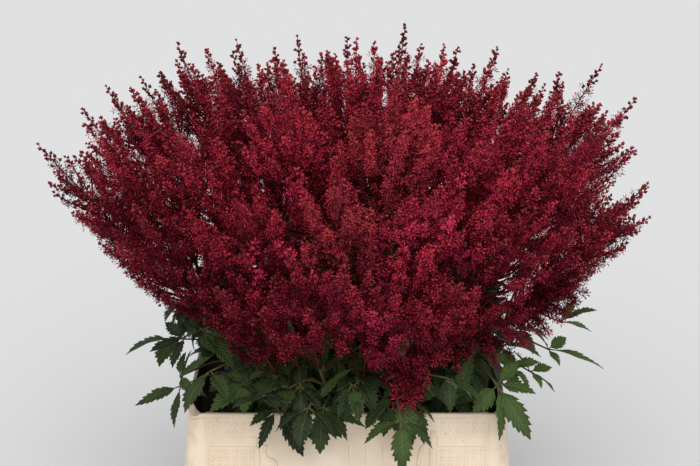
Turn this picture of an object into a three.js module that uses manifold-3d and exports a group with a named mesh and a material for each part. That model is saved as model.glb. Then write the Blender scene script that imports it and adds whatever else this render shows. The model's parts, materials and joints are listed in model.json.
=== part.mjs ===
// Cut astilbe: plumed flower stems standing in water in a rectangular flower container.
// Millimetres, +Z up, front towards -Y, origin at the centre of the container's underside.
import * as THREE from "three";
import { mergeVertices } from "three/addons/utils/BufferGeometryUtils.js";
import Module from "manifold-3d";

const wasm = await Module();
wasm.setup();

// Container
const HEIGHT = 300; // underside to rim
const RIM_X = 200; // half width at the rim
const RIM_Y = 150; // half depth at the rim
const BELLY_Z = 180; // height of the widest line
const BELLY = 10; // how far the wall stands out there beyond the rim
const WALL = 4;
const FLOOR = 8;
const WATER_TOP = 78;
const GAP = 0.3; // clearance between pieces that rest together

// Stems and plumes all point away from one centre inside the container
const CENTRE = new THREE.Vector3(0, 0, HEIGHT - 150);
const WAIST = 118; // distance from the centre at which the stems of a bunch cross
const STEM_R = 2.3;
const PLUME_LENGTH = 0.45; // share of a plume's reach that carries florets
const LEFT_LEAN = 42; // lowest lean of the plumes, degrees from upright, at the left side
const RIGHT_LEAN = 45.5; // and at the right side
const FRONT_LEAN = 44; // and at the front and back
const LEAF_LOW = 244; // height below which no leaf hangs outside the container
const FRONT_LOW = 262; // and in front of it

// Rows of plumes from front to back: forward slope, then sideways slope and reach of each
const ROWS = [
  [-0.76, [-0.42, 480], [-0.16, 486], [0.1, 456], [0.36, 480]],
  [-0.52, [-0.57, 545], [-0.29, 530], [-0.03, 545], [0.22, 540], [0.5, 548]],
  [-0.3, [-0.68, 600], [-0.4, 590], [-0.14, 600], [0.1, 618], [0.33, 592], [0.57, 618], [0.82, 590]],
  [-0.08, [-0.83, 609], [-0.55, 622], [-0.24, 606], [0.02, 606], [0.23, 612], [0.45, 600], [0.68, 640], [0.93, 560]],
  [0.11, [-0.7, 602], [-0.38, 618], [-0.11, 590], [0.125, 604], [0.34, 606], [0.6, 640]],
  [0.33, [-0.55, 600], [-0.27, 600], [0, 585], [0.24, 590], [0.5, 590], [0.76, 600]],
  [0.56, [-0.4, 550], [-0.13, 555], [0.14, 550], [0.42, 555]],
  [0.8, [-0.15, 495], [0.18, 500]],
];

// Sideways and forward slope of the middle of each bunch
const BUNCHES = [
  [-0.72, -0.05], [-0.45, -0.55], [-0.12, -0.62], [0.22, -0.62], [0.6, -0.4], [0.82, 0.02],
  [0.45, 0.35], [0.02, 0.52], [-0.4, 0.4], [-0.2, -0.05], [0.2, -0.05],
];

function random(seed) {
  let state = seed;
  return function next() {
    state = (state + 0x6d2b79f5) | 0;
    let t = Math.imul(state ^ (state >>> 15), 1 | state);
    t = (t + Math.imul(t ^ (t >>> 7), 61 | t)) ^ t;
    return ((t ^ (t >>> 14)) >>> 0) / 4294967296;
  };
}

function vector(x, y, z) {
  return new THREE.Vector3(x, y, z);
}

function along(start, direction, distance) {
  return start.clone().addScaledVector(direction, distance);
}

// ---- closed bodies ----

// A solid from any closed geometry, with only its corners kept and each of them shared
function solidOf(geometry) {
  const plain = geometry.clone();
  plain.deleteAttribute("normal");
  plain.deleteAttribute("uv");
  const merged = mergeVertices(plain, 1e-4);
  return new wasm.Manifold(new wasm.Mesh({
    numProp: 3,
    vertProperties: new Float32Array(merged.attributes.position.array),
    triVerts: new Uint32Array(merged.index.array),
  }));
}

function geometryOf(points, triangles) {
  return new THREE.BufferGeometry().setFromPoints(points).setIndex(triangles.flat());
}

function body(points, triangles) {
  return solidOf(geometryOf(points, triangles));
}

// Whether each edge parts exactly two faces
function wellJoined(triangles) {
  const edges = triangles.flatMap(([a, b, c]) => [`${a} ${b}`, `${b} ${c}`, `${c} ${a}`]);
  return new Set(edges).size === edges.length;
}

// Points and faces of a body with its corners on a grid: corners that fall together become one,
// and faces that this closes up are dropped
function onGrid(solid, grid) {
  const mesh = solid.getMesh();
  const numbers = new Map();
  const points = [];
  const index = [];
  for (let i = 0; i < mesh.vertProperties.length; i += mesh.numProp) {
    const cell = [0, 1, 2].map((k) => Math.round(mesh.vertProperties[i + k] * grid));
    const key = cell.join(" ");
    if (!numbers.has(key)) {
      numbers.set(key, points.length);
      points.push(vector(cell[0], cell[1], cell[2]).divideScalar(grid));
    }
    index.push(numbers.get(key));
  }
  const faces = new Map();
  for (let i = 0; i < mesh.triVerts.length; i += 3) {
    const tri = [0, 1, 2].map((k) => index[mesh.triVerts[i + k]]);
    if (new Set(tri).size < 3) continue;
    const key = [...tri].sort((a, b) => a - b).join(" ");
    if (faces.has(key)) faces.delete(key);
    else faces.set(key, tri);
  }
  return { points, triangles: [...faces.values()] };
}

// Joins bodies on the finest grid that leaves no folded edge, and drops any scrap left loose
function fuse(bodies) {
  const joined = bodies.reduce((sum, next) => sum.add(next));
  let best = joined;
  for (let grid = 250; grid > 12; grid *= 0.8) {
    const { points, triangles } = onGrid(joined, grid);
    if (!wellJoined(triangles)) continue;
    const pieces = body(points, triangles).decompose();
    pieces.sort((a, b) => b.volume() - a.volume());
    best = pieces[0];
    if (wellJoined(onGrid(best, 2000).triangles)) return best;
  }
  return best;
}

// A tube through points, with a radius and, where given, a facing for each ring;
// it ends in a point when pointed, and each ring may be turned half a side from the last.
function tube(points, radii, sides, options = {}) {
  const verts = [];
  const tris = [];
  const facing = points.map((p, i) => {
    const before = points[Math.max(i - 1, 0)];
    const after = points[Math.min(i + 1, points.length - 1)];
    return after.clone().sub(before).normalize();
  });
  if (options.first) facing[0] = options.first;
  if (options.last) facing[points.length - 1] = options.last;
  const rings = options.pointed ? points.length - 1 : points.length;
  let side = vector(0.36, 0.48, 0.8);
  if (Math.abs(side.dot(facing[0])) > 0.9) side = vector(0.8, -0.6, 0);
  for (let i = 0; i < rings; i++) {
    side = side.clone().addScaledVector(facing[i], -side.dot(facing[i])).normalize();
    const other = facing[i].clone().cross(side);
    const turn = options.twisted ? (i * Math.PI) / sides : 0;
    for (let k = 0; k < sides; k++) {
      const angle = (2 * Math.PI * k) / sides + turn;
      verts.push(points[i].clone()
        .addScaledVector(side, radii[i] * Math.cos(angle))
        .addScaledVector(other, radii[i] * Math.sin(angle)));
    }
  }
  for (let k = 1; k + 1 < sides; k++) tris.push([0, k + 1, k]);
  for (let i = 0; i + 1 < rings; i++) {
    for (let k = 0; k < sides; k++) {
      const a = i * sides + k;
      const b = i * sides + ((k + 1) % sides);
      tris.push([a, b, a + sides], [b, b + sides, a + sides]);
    }
  }
  const top = (rings - 1) * sides;
  if (options.pointed) {
    verts.push(points[points.length - 1].clone());
    for (let k = 0; k < sides; k++) tris.push([top + k, top + ((k + 1) % sides), verts.length - 1]);
  } else {
    for (let k = 1; k + 1 < sides; k++) tris.push([top, top + k, top + k + 1]);
  }
  return body(verts, tris);
}

// ---- where everything goes ----

function direction(u, v) {
  return vector(u, v, 1).normalize();
}

function placePlumes() {
  return ROWS.flatMap(([v, ...stems]) => stems.map(([u, reach]) => ({ d: direction(u, v), reach })));
}

function nearest(d, centres) {
  let best = 0;
  centres.forEach((c, i) => {
    if (c.dot(d) > centres[best].dot(d)) best = i;
  });
  return best;
}

// Every plume joins the nearest bunch, and each bunch moves to the middle of its plumes.
function placeBunches(plumes) {
  let centres = BUNCHES.map(([u, v]) => direction(u, v));
  for (let round = 0; round < 4; round++) {
    const sums = centres.map(() => vector(0, 0, 0));
    plumes.forEach((plume) => sums[nearest(plume.d, centres)].add(plume.d));
    centres = sums.map((sum, i) => (sum.length() > 0 ? sum.normalize() : centres[i]));
  }
  const bunches = centres.map((d) => ({ d, plumes: [] }));
  plumes.forEach((plume) => {
    plume.bunch = nearest(plume.d, centres);
    bunches[plume.bunch].plumes.push(plume);
  });
  return bunches;
}

// Planes through the centre that part one direction from the others
function partings(d, others) {
  return others.filter((o) => o !== d && o.dot(d) > 0.45).map((o) => o.clone().sub(d).normalize());
}

// The plane that keeps a plume above the leaves on its own side
function skirt(d) {
  const flat = Math.hypot(d.x, d.y) || 1;
  const across = d.x / flat;
  const sideLean = across < 0 ? LEFT_LEAN : RIGHT_LEAN;
  const lean = THREE.MathUtils.degToRad(FRONT_LEAN + (sideLean - FRONT_LEAN) * across * across);
  return vector((Math.cos(lean) * d.x) / flat, (Math.cos(lean) * d.y) / flat, -Math.sin(lean));
}

function arrange() {
  const plumes = placePlumes();
  const bunches = placeBunches(plumes);
  const heads = plumes.map((plume) => plume.d);
  const middles = bunches.map((bunch) => bunch.d);
  bunches.forEach((bunch) => {
    bunch.walls = partings(bunch.d, middles);
  });
  bunches.forEach((bunch) => {
    bunch.near = plumes.filter((plume) => plume.d.dot(bunch.d) > 0.8);
  });
  plumes.forEach((plume) => {
    plume.base = plume.reach * (1 - PLUME_LENGTH);
    plume.walls = [...partings(plume.d, heads), skirt(plume.d)];
  });
  return { plumes, bunches };
}

function within(offset, walls, margin) {
  return walls.every((wall) => offset.dot(wall) <= -margin);
}

// ---- plumes ----

const TIP_AT = [0, 0.14, 0.36, 0.56, 0.76, 0.88, 1];
const TIP_R = [2.5, 8, 15, 9, 10, 5.5, 0];
const FINGER_AT = [0, 0.36, 0.58, 0.8, 1];
const FINGER_R = [0.1, 1, 0.66, 0.86, 0];

// Points of one side branch, which leaves the stalk at an angle and curls up towards its tip
function fingerPath(plume, finger) {
  const out = finger.out;
  const start = plume.d.clone().multiplyScalar(finger.from);
  const points = [start];
  let here = start;
  for (let i = 1; i < FINGER_AT.length; i++) {
    const step = (FINGER_AT[i] - FINGER_AT[i - 1]) * finger.length;
    const lean = finger.lean * (1 - 0.45 * FINGER_AT[i]);
    here = along(along(here, plume.d, step * Math.cos(lean)), out, step * Math.sin(lean));
    points.push(here);
  }
  return points;
}

function fingerFits(plume, finger, points) {
  return points.every((p, i) => i === 0 || within(p, plume.walls, FINGER_R[i] * finger.radius + 0.3));
}

// Side branches stand round the stalk by the golden angle and grow shorter towards the top.
function placeFingers(plume, index) {
  const next = random(700 + index * 13);
  const side = vector(0, 0, 1).cross(plume.d);
  if (side.length() < 1e-3) side.set(1, 0, 0);
  side.normalize();
  const other = plume.d.clone().cross(side);
  const span = plume.reach - plume.base;
  const count = plume.d.y > 0.2 ? 4 : plume.d.y > -0.2 ? 6 : 7;
  const turn = next() * 2 * Math.PI;
  const fingers = [];
  for (let i = 0; i < count; i++) {
    const share = i / (count - 1);
    const angle = turn + i * 2.39996 + (next() - 0.5) * 0.5;
    const finger = {
      from: plume.base + span * (0.06 + 0.58 * share + (next() - 0.5) * 0.05),
      out: side.clone().multiplyScalar(Math.cos(angle)).addScaledVector(other, Math.sin(angle)),
      length: span * (0.43 - 0.21 * share) * (0.85 + 0.3 * next()),
      lean: 1.15 - 0.35 * share + (next() - 0.5) * 0.2,
      radius: 14.5 - 5.5 * share,
    };
    let points = fingerPath(plume, finger);
    while (!fingerFits(plume, finger, points) && finger.length > 12) {
      finger.length *= 0.95;
      finger.lean *= 0.95;
      finger.radius = Math.min(finger.radius, 0.22 * finger.length);
      points = fingerPath(plume, finger);
    }
    finger.points = points;
    if (fingerFits(plume, finger, points)) fingers.push(finger);
  }
  return fingers;
}

function plumeBody(plume, index) {
  const place = (p) => p.clone().add(CENTRE);
  const span = plume.reach - plume.base;
  const stalk = TIP_AT.map((at) => place(plume.d.clone().multiplyScalar(plume.base + span * at)));
  const parts = [tube(stalk, TIP_R, 3, { pointed: true, twisted: true })];
  placeFingers(plume, index).forEach((finger) => {
    const radii = FINGER_R.map((r) => r * finger.radius);
    parts.push(tube(finger.points.map(place), radii, 3, { pointed: true, twisted: true }));
  });
  return fuse(parts);
}

// ---- leaflets ----

const RIB_AT = [0, 0.4, 0.7];
const STALK = 0.15; // share of a leaflet's length that is its own short stalk
const BLADE = 0.9; // half thickness of a leaf at its ribs

function halfWidth(leaflet, at) {
  return leaflet.width * Math.sin(Math.PI * Math.pow((at - STALK) / (1 - STALK), 0.8));
}

// A leaflet's toothed outline on one side: share of its length, half width
function leafletEdge(leaflet) {
  const edge = [];
  const step = (1 - STALK) / leaflet.teeth;
  for (let i = 0; i < leaflet.teeth; i++) {
    const notch = STALK + step * (i + 0.05);
    const tip = STALK + step * (i + 0.8);
    edge.push([notch, i > 0 ? halfWidth(leaflet, notch) * 0.8 : 1.5]);
    edge.push([tip, halfWidth(leaflet, tip) * 1.2]);
  }
  return edge;
}

// A point of the blade: at is the share of its length, across the distance from the rib
function leafletPoint(leaflet, at, across, lift) {
  const bend = leaflet.bend * at;
  const run = (Math.sin(bend) / leaflet.bend) * leaflet.length;
  const drop = ((Math.cos(bend) - 1) / leaflet.bend) * leaflet.length;
  const up = leaflet.up.clone().multiplyScalar(Math.cos(bend)).addScaledVector(leaflet.ahead, Math.sin(bend));
  const side = leaflet.up.clone().cross(leaflet.ahead);
  return leaflet.root.clone()
    .addScaledVector(leaflet.ahead, run)
    .addScaledVector(leaflet.up, drop)
    .addScaledVector(side, across)
    .addScaledVector(up, lift + 0.22 * Math.abs(across));
}

// The leaflets of a leaf, side by side in one blade that is cut in to its middle between them.
// Upper and under face have the same triangles and meet at the outline.
function bladeMesh(leaf) {
  const verts = [along(leaf.node, leaf.up, BLADE), along(leaf.node, leaf.up, -BLADE)];
  const cuts = leaf.leaflets.map((leaflet, i) => {
    const before = leaf.leaflets[i - 1];
    const into = before ? before.ahead.clone().add(leaflet.ahead).normalize() : leaf.out.clone().negate();
    verts.push(along(leaf.node, into, before ? 7 : 4));
    return verts.length - 1;
  });
  const tris = [];
  leaf.leaflets.forEach((leaflet, i) => {
    const edge = leafletEdge(leaflet);
    verts.push(leafletPoint(leaflet, 1, 0, 0));
    const apex = verts.length - 1;
    const ribs = [1, -1].map((sign, face) => [face, ...RIB_AT.slice(1).map((at) => {
      verts.push(leafletPoint(leaflet, at, 0, sign * BLADE));
      return verts.length - 1;
    }), apex]);
    for (const sign of [1, -1]) {
      const cut = sign > 0 ? cuts[i] : cuts[(i + 1) % cuts.length];
      const rim = [cut, ...edge.map(([at, width]) => {
        verts.push(leafletPoint(leaflet, at, sign * width, 0));
        return verts.length - 1;
      }), apex];
      const shares = [0.06, ...edge.map(([at]) => at), 1];
      ribs.forEach((rib, face) => stitch(tris, rim, shares, rib, [...RIB_AT, 1], (sign > 0) === (face > 0)));
    }
  });
  return { verts, tris };
}

// Triangles between an outline and a rib that end in the same point
function stitch(tris, rim, rimAt, rib, ribAt, flip) {
  let i = 0;
  let j = 0;
  while (i + 1 < rib.length || j + 1 < rim.length) {
    const ribMoves = j + 1 >= rim.length || (i + 1 < rib.length && ribAt[i + 1] <= rimAt[j + 1]);
    const tri = ribMoves ? [rib[i], rib[i + 1], rim[j]] : [rib[i], rim[j + 1], rim[j]];
    if (new Set(tri).size === 3) tris.push(flip ? [tri[0], tri[2], tri[1]] : tri);
    if (ribMoves) i++;
    else j++;
  }
}

// ---- leaves ----

function leafAt(next, stem, bunch, tier) {
  const from = 0.12 + 0.7 * next();
  const root = stem.waist.clone().lerp(stem.top, from);
  const heading = Math.atan2(bunch.d.y, bunch.d.x) + (next() - 0.5) * 2.6;
  const rise = [0.15, 0.45, 0.8][tier] + (next() - 0.5) * 0.6;
  const stalk = 30 + 85 * next();
  const out = vector(Math.cos(heading), Math.sin(heading), 0);
  const node = along(along(root, out, stalk * Math.cos(rise)), vector(0, 0, 1), stalk * Math.sin(rise));
  const middle = root.clone().lerp(node, 0.5).add(vector(0, 0, 0.12 * stalk));
  const dip = -0.15 + 0.75 * next();
  const size = 0.72 + 0.4 * next();
  const leaflets = [];
  const plan = [[1.3, 66, 13, 2], [0, 78, 16, 3], [-1.3, 66, 13, 2]];
  plan.forEach(([turn, length, width, teeth]) => {
    const angle = heading + turn + (next() - 0.5) * 0.12;
    const fall = dip + (next() - 0.5) * 0.6;
    const flat = vector(Math.cos(angle), Math.sin(angle), 0);
    const ahead = flat.clone().multiplyScalar(Math.cos(fall)).add(vector(0, 0, -Math.sin(fall)));
    const up = flat.clone().multiplyScalar(Math.sin(fall)).add(vector(0, 0, Math.cos(fall)));
    leaflets.push({
      root: node, ahead, up, teeth,
      length: length * size, width: width * size * (0.95 + 0.1 * next()), bend: 0.5 + 0.5 * next(),
    });
  });
  return { root, middle, node, out, up: vector(0, 0, 1), leaflets };
}

function wallAt(z) {
  return z > BELLY_Z ? (BELLY * (HEIGHT - z)) / (HEIGHT - BELLY_Z) : BELLY;
}

// Clear of the container's wall and rim, and not hanging far down it, nor over its right side or front left corner
function clearOfWall(p) {
  if (p.z > HEIGHT + 3) return true;
  const x = Math.abs(p.x);
  const y = Math.abs(p.y);
  const out = wallAt(p.z) + 3;
  if (x > RIM_X + out || y > RIM_Y + out) {
    const front = p.y < -RIM_Y;
    if (p.x > RIM_X || (front && p.x < -95)) return false;
    return p.z > (front ? FRONT_LOW : LEAF_LOW);
  }
  return x < RIM_X - WALL - 4 && y < RIM_Y - WALL - 4;
}

function leafPointFits(p, bunch) {
  const offset = p.clone().sub(CENTRE);
  if (!clearOfWall(p) || !within(offset, bunch.walls, 0.8)) return false;
  return bunch.near.every((plume) => offset.length() < plume.base - 7 || !within(offset, plume.walls, -0.5));
}

// Enough points of a leaf to keep it apart from other leaves and from the stems
function leafMarks(leaf) {
  const blade = leaf.leaflets.flatMap((leaflet) => [0.2, 0.35, 0.5, 0.65, 0.8, 1].flatMap((at) => {
    const wide = at < 1 ? halfWidth(leaflet, at) * 0.8 : 0;
    return [-wide, 0, wide].map((across) => leafletPoint(leaflet, at, across, 0));
  }));
  const stalk = [0, 0.5, 1].map((t) => leaf.middle.clone().lerp(leaf.node, t));
  return [...blade, ...stalk];
}

function apart(marks, others, distance) {
  return others.every((p) => marks.every((q) => p.distanceTo(q) > distance));
}

function stemMarks(stems) {
  return stems.flatMap((stem) => [...Array(31).keys()].map((i) => stem.waist.clone().lerp(stem.top, i / 30)));
}

function leafFits(leaf, bunch, stems, taken) {
  const marks = leafMarks(leaf);
  if (!apart([leaf.node], stemMarks(stems), 10)) return false;
  if (!taken.every((other) => apart(marks, leafMarks(other), 9))) return false;
  for (let i = 0; i <= 8; i++) {
    const p = leaf.root.clone().lerp(leaf.middle, i / 8);
    const q = leaf.middle.clone().lerp(leaf.node, i / 8);
    if (!leafPointFits(p, bunch) || !leafPointFits(q, bunch)) return false;
  }
  const { verts, tris } = bladeMesh(leaf);
  return tris.every(([a, b, c]) => {
    for (let i = 0; i <= 4; i++) {
      for (let j = 0; i + j <= 4; j++) {
        const p = verts[a].clone().multiplyScalar(i / 4)
          .addScaledVector(verts[b], j / 4)
          .addScaledVector(verts[c], (4 - i - j) / 4);
        if (!leafPointFits(p, bunch)) return false;
      }
    }
    return true;
  });
}

// Leaves are tried in turn at random headings, and one is kept where it clears everything.
function placeLeaves(bunch, stems, index) {
  const next = random(4100 + index * 17);
  const wanted = Math.hypot(bunch.d.x, bunch.d.y) < 0.3 ? 0 : bunch.d.y < -0.15 ? 5 : 3;
  const leaves = [];
  for (let attempt = 0; attempt < 9000 && leaves.length < wanted; attempt++) {
    const stem = stems[Math.floor(next() * stems.length)];
    const leaf = leafAt(next, stem, bunch, leaves.length % 3);
    if (leafFits(leaf, bunch, stems, leaves)) leaves.push(leaf);
  }
  return leaves;
}

// ---- bunches of stems ----

function placeStems(bunch) {
  const waist = along(CENTRE, bunch.d, WAIST);
  return bunch.plumes.map((plume) => ({
    waist,
    top: along(CENTRE, plume.d, plume.base - 0.35),
    facing: plume.d,
  }));
}

// Down in the container the stems of a bunch stand close together as one
function footOf(bunch) {
  return vector(bunch.d.x * WAIST * 1.25, bunch.d.y * WAIST * 1.25, FLOOR + GAP);
}

function stemBody(stem) {
  const down = stem.waist.clone().sub(stem.top).normalize();
  const points = [stem.top, along(stem.waist, down, -18), along(stem.waist, down, 4)];
  return tube(points, [STEM_R * 0.9, STEM_R, 0], 4, { pointed: true, first: stem.facing.clone().negate() });
}

function bunchBody(bunch, index) {
  const stems = placeStems(bunch);
  const waist = along(CENTRE, bunch.d, WAIST);
  const parts = [tube([footOf(bunch), waist, along(waist, bunch.d, 5)], [6, 5.5, 4], 5, { first: vector(0, 0, 1) })];
  parts.push(...stems.map(stemBody));
  placeLeaves(bunch, stems, index).forEach((leaf) => {
    parts.push(tube([leaf.root, leaf.middle, leaf.node], [1.5, 1.4, 0], 3, { pointed: true }));
    const { verts, tris } = bladeMesh(leaf);
    parts.push(body(verts, tris));
  });
  return fuse(parts);
}

// ---- container and water ----

// A block with rounded corners lofted through levels of height, half width, half depth, corner radius
function loft(levels) {
  const corner = [0, 0.293, 1];
  const verts = [];
  levels.forEach(([z, x, y, r]) => {
    for (const [sx, sy] of [[1, 1], [-1, 1], [-1, -1], [1, -1]]) {
      corner.forEach((c, i) => {
        const back = corner[2 - i];
        const near = sx * sy > 0 ? [c, back] : [back, c];
        verts.push(vector(sx * (x - near[0] * r), sy * (y - near[1] * r), z));
      });
    }
  });
  const n = 12;
  const tris = [];
  for (let k = 1; k + 1 < n; k++) tris.push([0, k + 1, k]);
  for (let i = 0; i + 1 < levels.length; i++) {
    for (let k = 0; k < n; k++) {
      const a = i * n + k;
      const b = i * n + ((k + 1) % n);
      tris.push([a, b, b + n], [a, b + n, a + n]);
    }
  }
  const top = (levels.length - 1) * n;
  for (let k = 1; k + 1 < n; k++) tris.push([top, top + k, top + k + 1]);
  return body(verts, tris);
}

// A flat bar lying on a side wall between two heights, given its left and right at each height
function bar(face, low, high, inward, outward) {
  const verts = [];
  for (const [z, left, right] of [low, high]) {
    const wall = wallAt(z) + (face.long ? RIM_Y : RIM_X);
    for (const [u, w] of [[left, wall + outward], [right, wall + outward], [right, wall - inward], [left, wall - inward]]) {
      const p = face.long ? vector(u, -w, z) : vector(w, u, z);
      if (face.turned) p.set(-p.x, -p.y, z);
      verts.push(p);
    }
  }
  const tris = [[0, 2, 1], [0, 3, 2], [4, 5, 6], [4, 6, 7]];
  for (let k = 0; k < 4; k++) {
    const b = (k + 1) % 4;
    tris.push([k, b, b + 4], [k, b + 4, k + 4]);
  }
  return body(verts, tris);
}

function containerBody() {
  let shell = loft([
    [0, RIM_X - 4, RIM_Y - 4, 22],
    [6, RIM_X, RIM_Y, 24],
    [BELLY_Z, RIM_X + BELLY, RIM_Y + BELLY, 24],
    [HEIGHT - 5, RIM_X + wallAt(HEIGHT - 5), RIM_Y + wallAt(HEIGHT - 5), 20],
    [HEIGHT - 4.4, RIM_X + 1.4, RIM_Y + 1.4, 21],
    [HEIGHT - 1.2, RIM_X + 1.2, RIM_Y + 1.2, 21],
    [HEIGHT, RIM_X - 0.4, RIM_Y - 0.4, 20],
  ]);
  for (const turned of [false, true]) {
    const front = { long: true, turned };
    const end = { long: false, turned };
    shell = shell.subtract(bar(front, [190, -172, 172], [292, -180, 180], 1.2, 3));
    shell = shell.subtract(bar(end, [190, -122, 122], [292, -130, 130], 1.2, 3));
    for (const side of [-1, 1]) {
      const place = (near, far) => (side < 0 ? [-far, -near] : [near, far]);
      shell = shell.add(bar(front, [256, ...place(113, 172)], [269, ...place(113, 172)], 2.4, -0.4));
      shell = shell.add(bar(front, [190, ...place(92, 106)], [254, ...place(101, 110)], 2.4, 0.8));
    }
  }
  const inner = WALL;
  shell = shell.subtract(loft([
    [FLOOR, RIM_X - inner + 0.2, RIM_Y - inner + 0.2, 20],
    [BELLY_Z, RIM_X + BELLY - inner, RIM_Y + BELLY - inner, 20],
    [HEIGHT + 1, RIM_X - inner, RIM_Y - inner, 16],
  ]));
  for (const [sx, sy] of [[1, 1], [-1, 1], [-1, -1], [1, -1]]) {
    const scoop = new THREE.CylinderGeometry(15, 15, 60, 10);
    scoop.rotateZ(Math.PI / 2);
    scoop.rotateZ(Math.atan2(sy, sx));
    scoop.translate(sx * (RIM_X - 8), sy * (RIM_Y - 8), HEIGHT + 9.5);
    shell = shell.subtract(solidOf(scoop));
  }
  return fuse([shell]);
}

function innerHalf(z) {
  return (z - FLOOR) / (BELLY_Z - FLOOR) * (BELLY - 0.2) + 0.2 - WALL;
}

function waterBody(bunches) {
  const low = innerHalf(FLOOR + GAP) - GAP;
  const high = innerHalf(WATER_TOP) - GAP;
  let water = loft([
    [FLOOR + GAP, RIM_X + low, RIM_Y + low, 20],
    [WATER_TOP, RIM_X + high, RIM_Y + high, 20],
  ]);
  bunches.forEach((bunch) => {
    const foot = footOf(bunch);
    const line = along(CENTRE, bunch.d, WAIST).sub(foot);
    const end = (z) => along(foot, line, (z - foot.z) / line.z);
    const upright = { first: vector(0, 0, 1), last: vector(0, 0, 1) };
    water = water.subtract(tube([end(0), end(WATER_TOP + 8)], [8, 8], 5, upright));
  });
  return fuse([water]);
}

// ---- the part ----

const MATERIALS = {
  cream: new THREE.MeshStandardMaterial({ name: "cream_plastic", color: 0xe6d3bd, roughness: 0.5 }),
  water: new THREE.MeshStandardMaterial({ name: "water", color: 0x5a6a5c, roughness: 0.1 }),
  red: new THREE.MeshStandardMaterial({ name: "plume_red", color: 0x8c1a34, roughness: 0.8 }),
  green: new THREE.MeshStandardMaterial({ name: "stem_green", color: 0x35592e, roughness: 0.6 }),
};

function addNode(group, name, solid, material) {
  const { points, triangles } = onGrid(solid, 2000);
  const geometry = geometryOf(points.map((p) => p.sub(group.position)), triangles);
  geometry.computeVertexNormals();
  const node = new THREE.Mesh(geometry, material.clone());
  node.name = name;
  group.add(node);
}

function numbered(name, i) {
  return `${name}_${String(i + 1).padStart(2, "0")}`;
}

const { plumes, bunches } = arrange();
const part = new THREE.Group();
addNode(part, "container", containerBody(), MATERIALS.cream);
addNode(part, "water", waterBody(bunches), MATERIALS.water);

const flowers = new THREE.Group();
flowers.position.copy(CENTRE);
part.add(flowers);
bunches.forEach((bunch, i) => addNode(flowers, numbered("leafy_stems", i), bunchBody(bunch, i), MATERIALS.green));
plumes.forEach((plume, i) => addNode(flowers, numbered("plume", i), plumeBody(plume, i), MATERIALS.red));

export default part;
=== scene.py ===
"""Dresses a bouquet of cut astilbe in its flower container.

Every piece is set out in millimetres from the middle of the container's underside,
front towards -Y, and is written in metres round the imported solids.
"""

import json
import math

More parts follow.
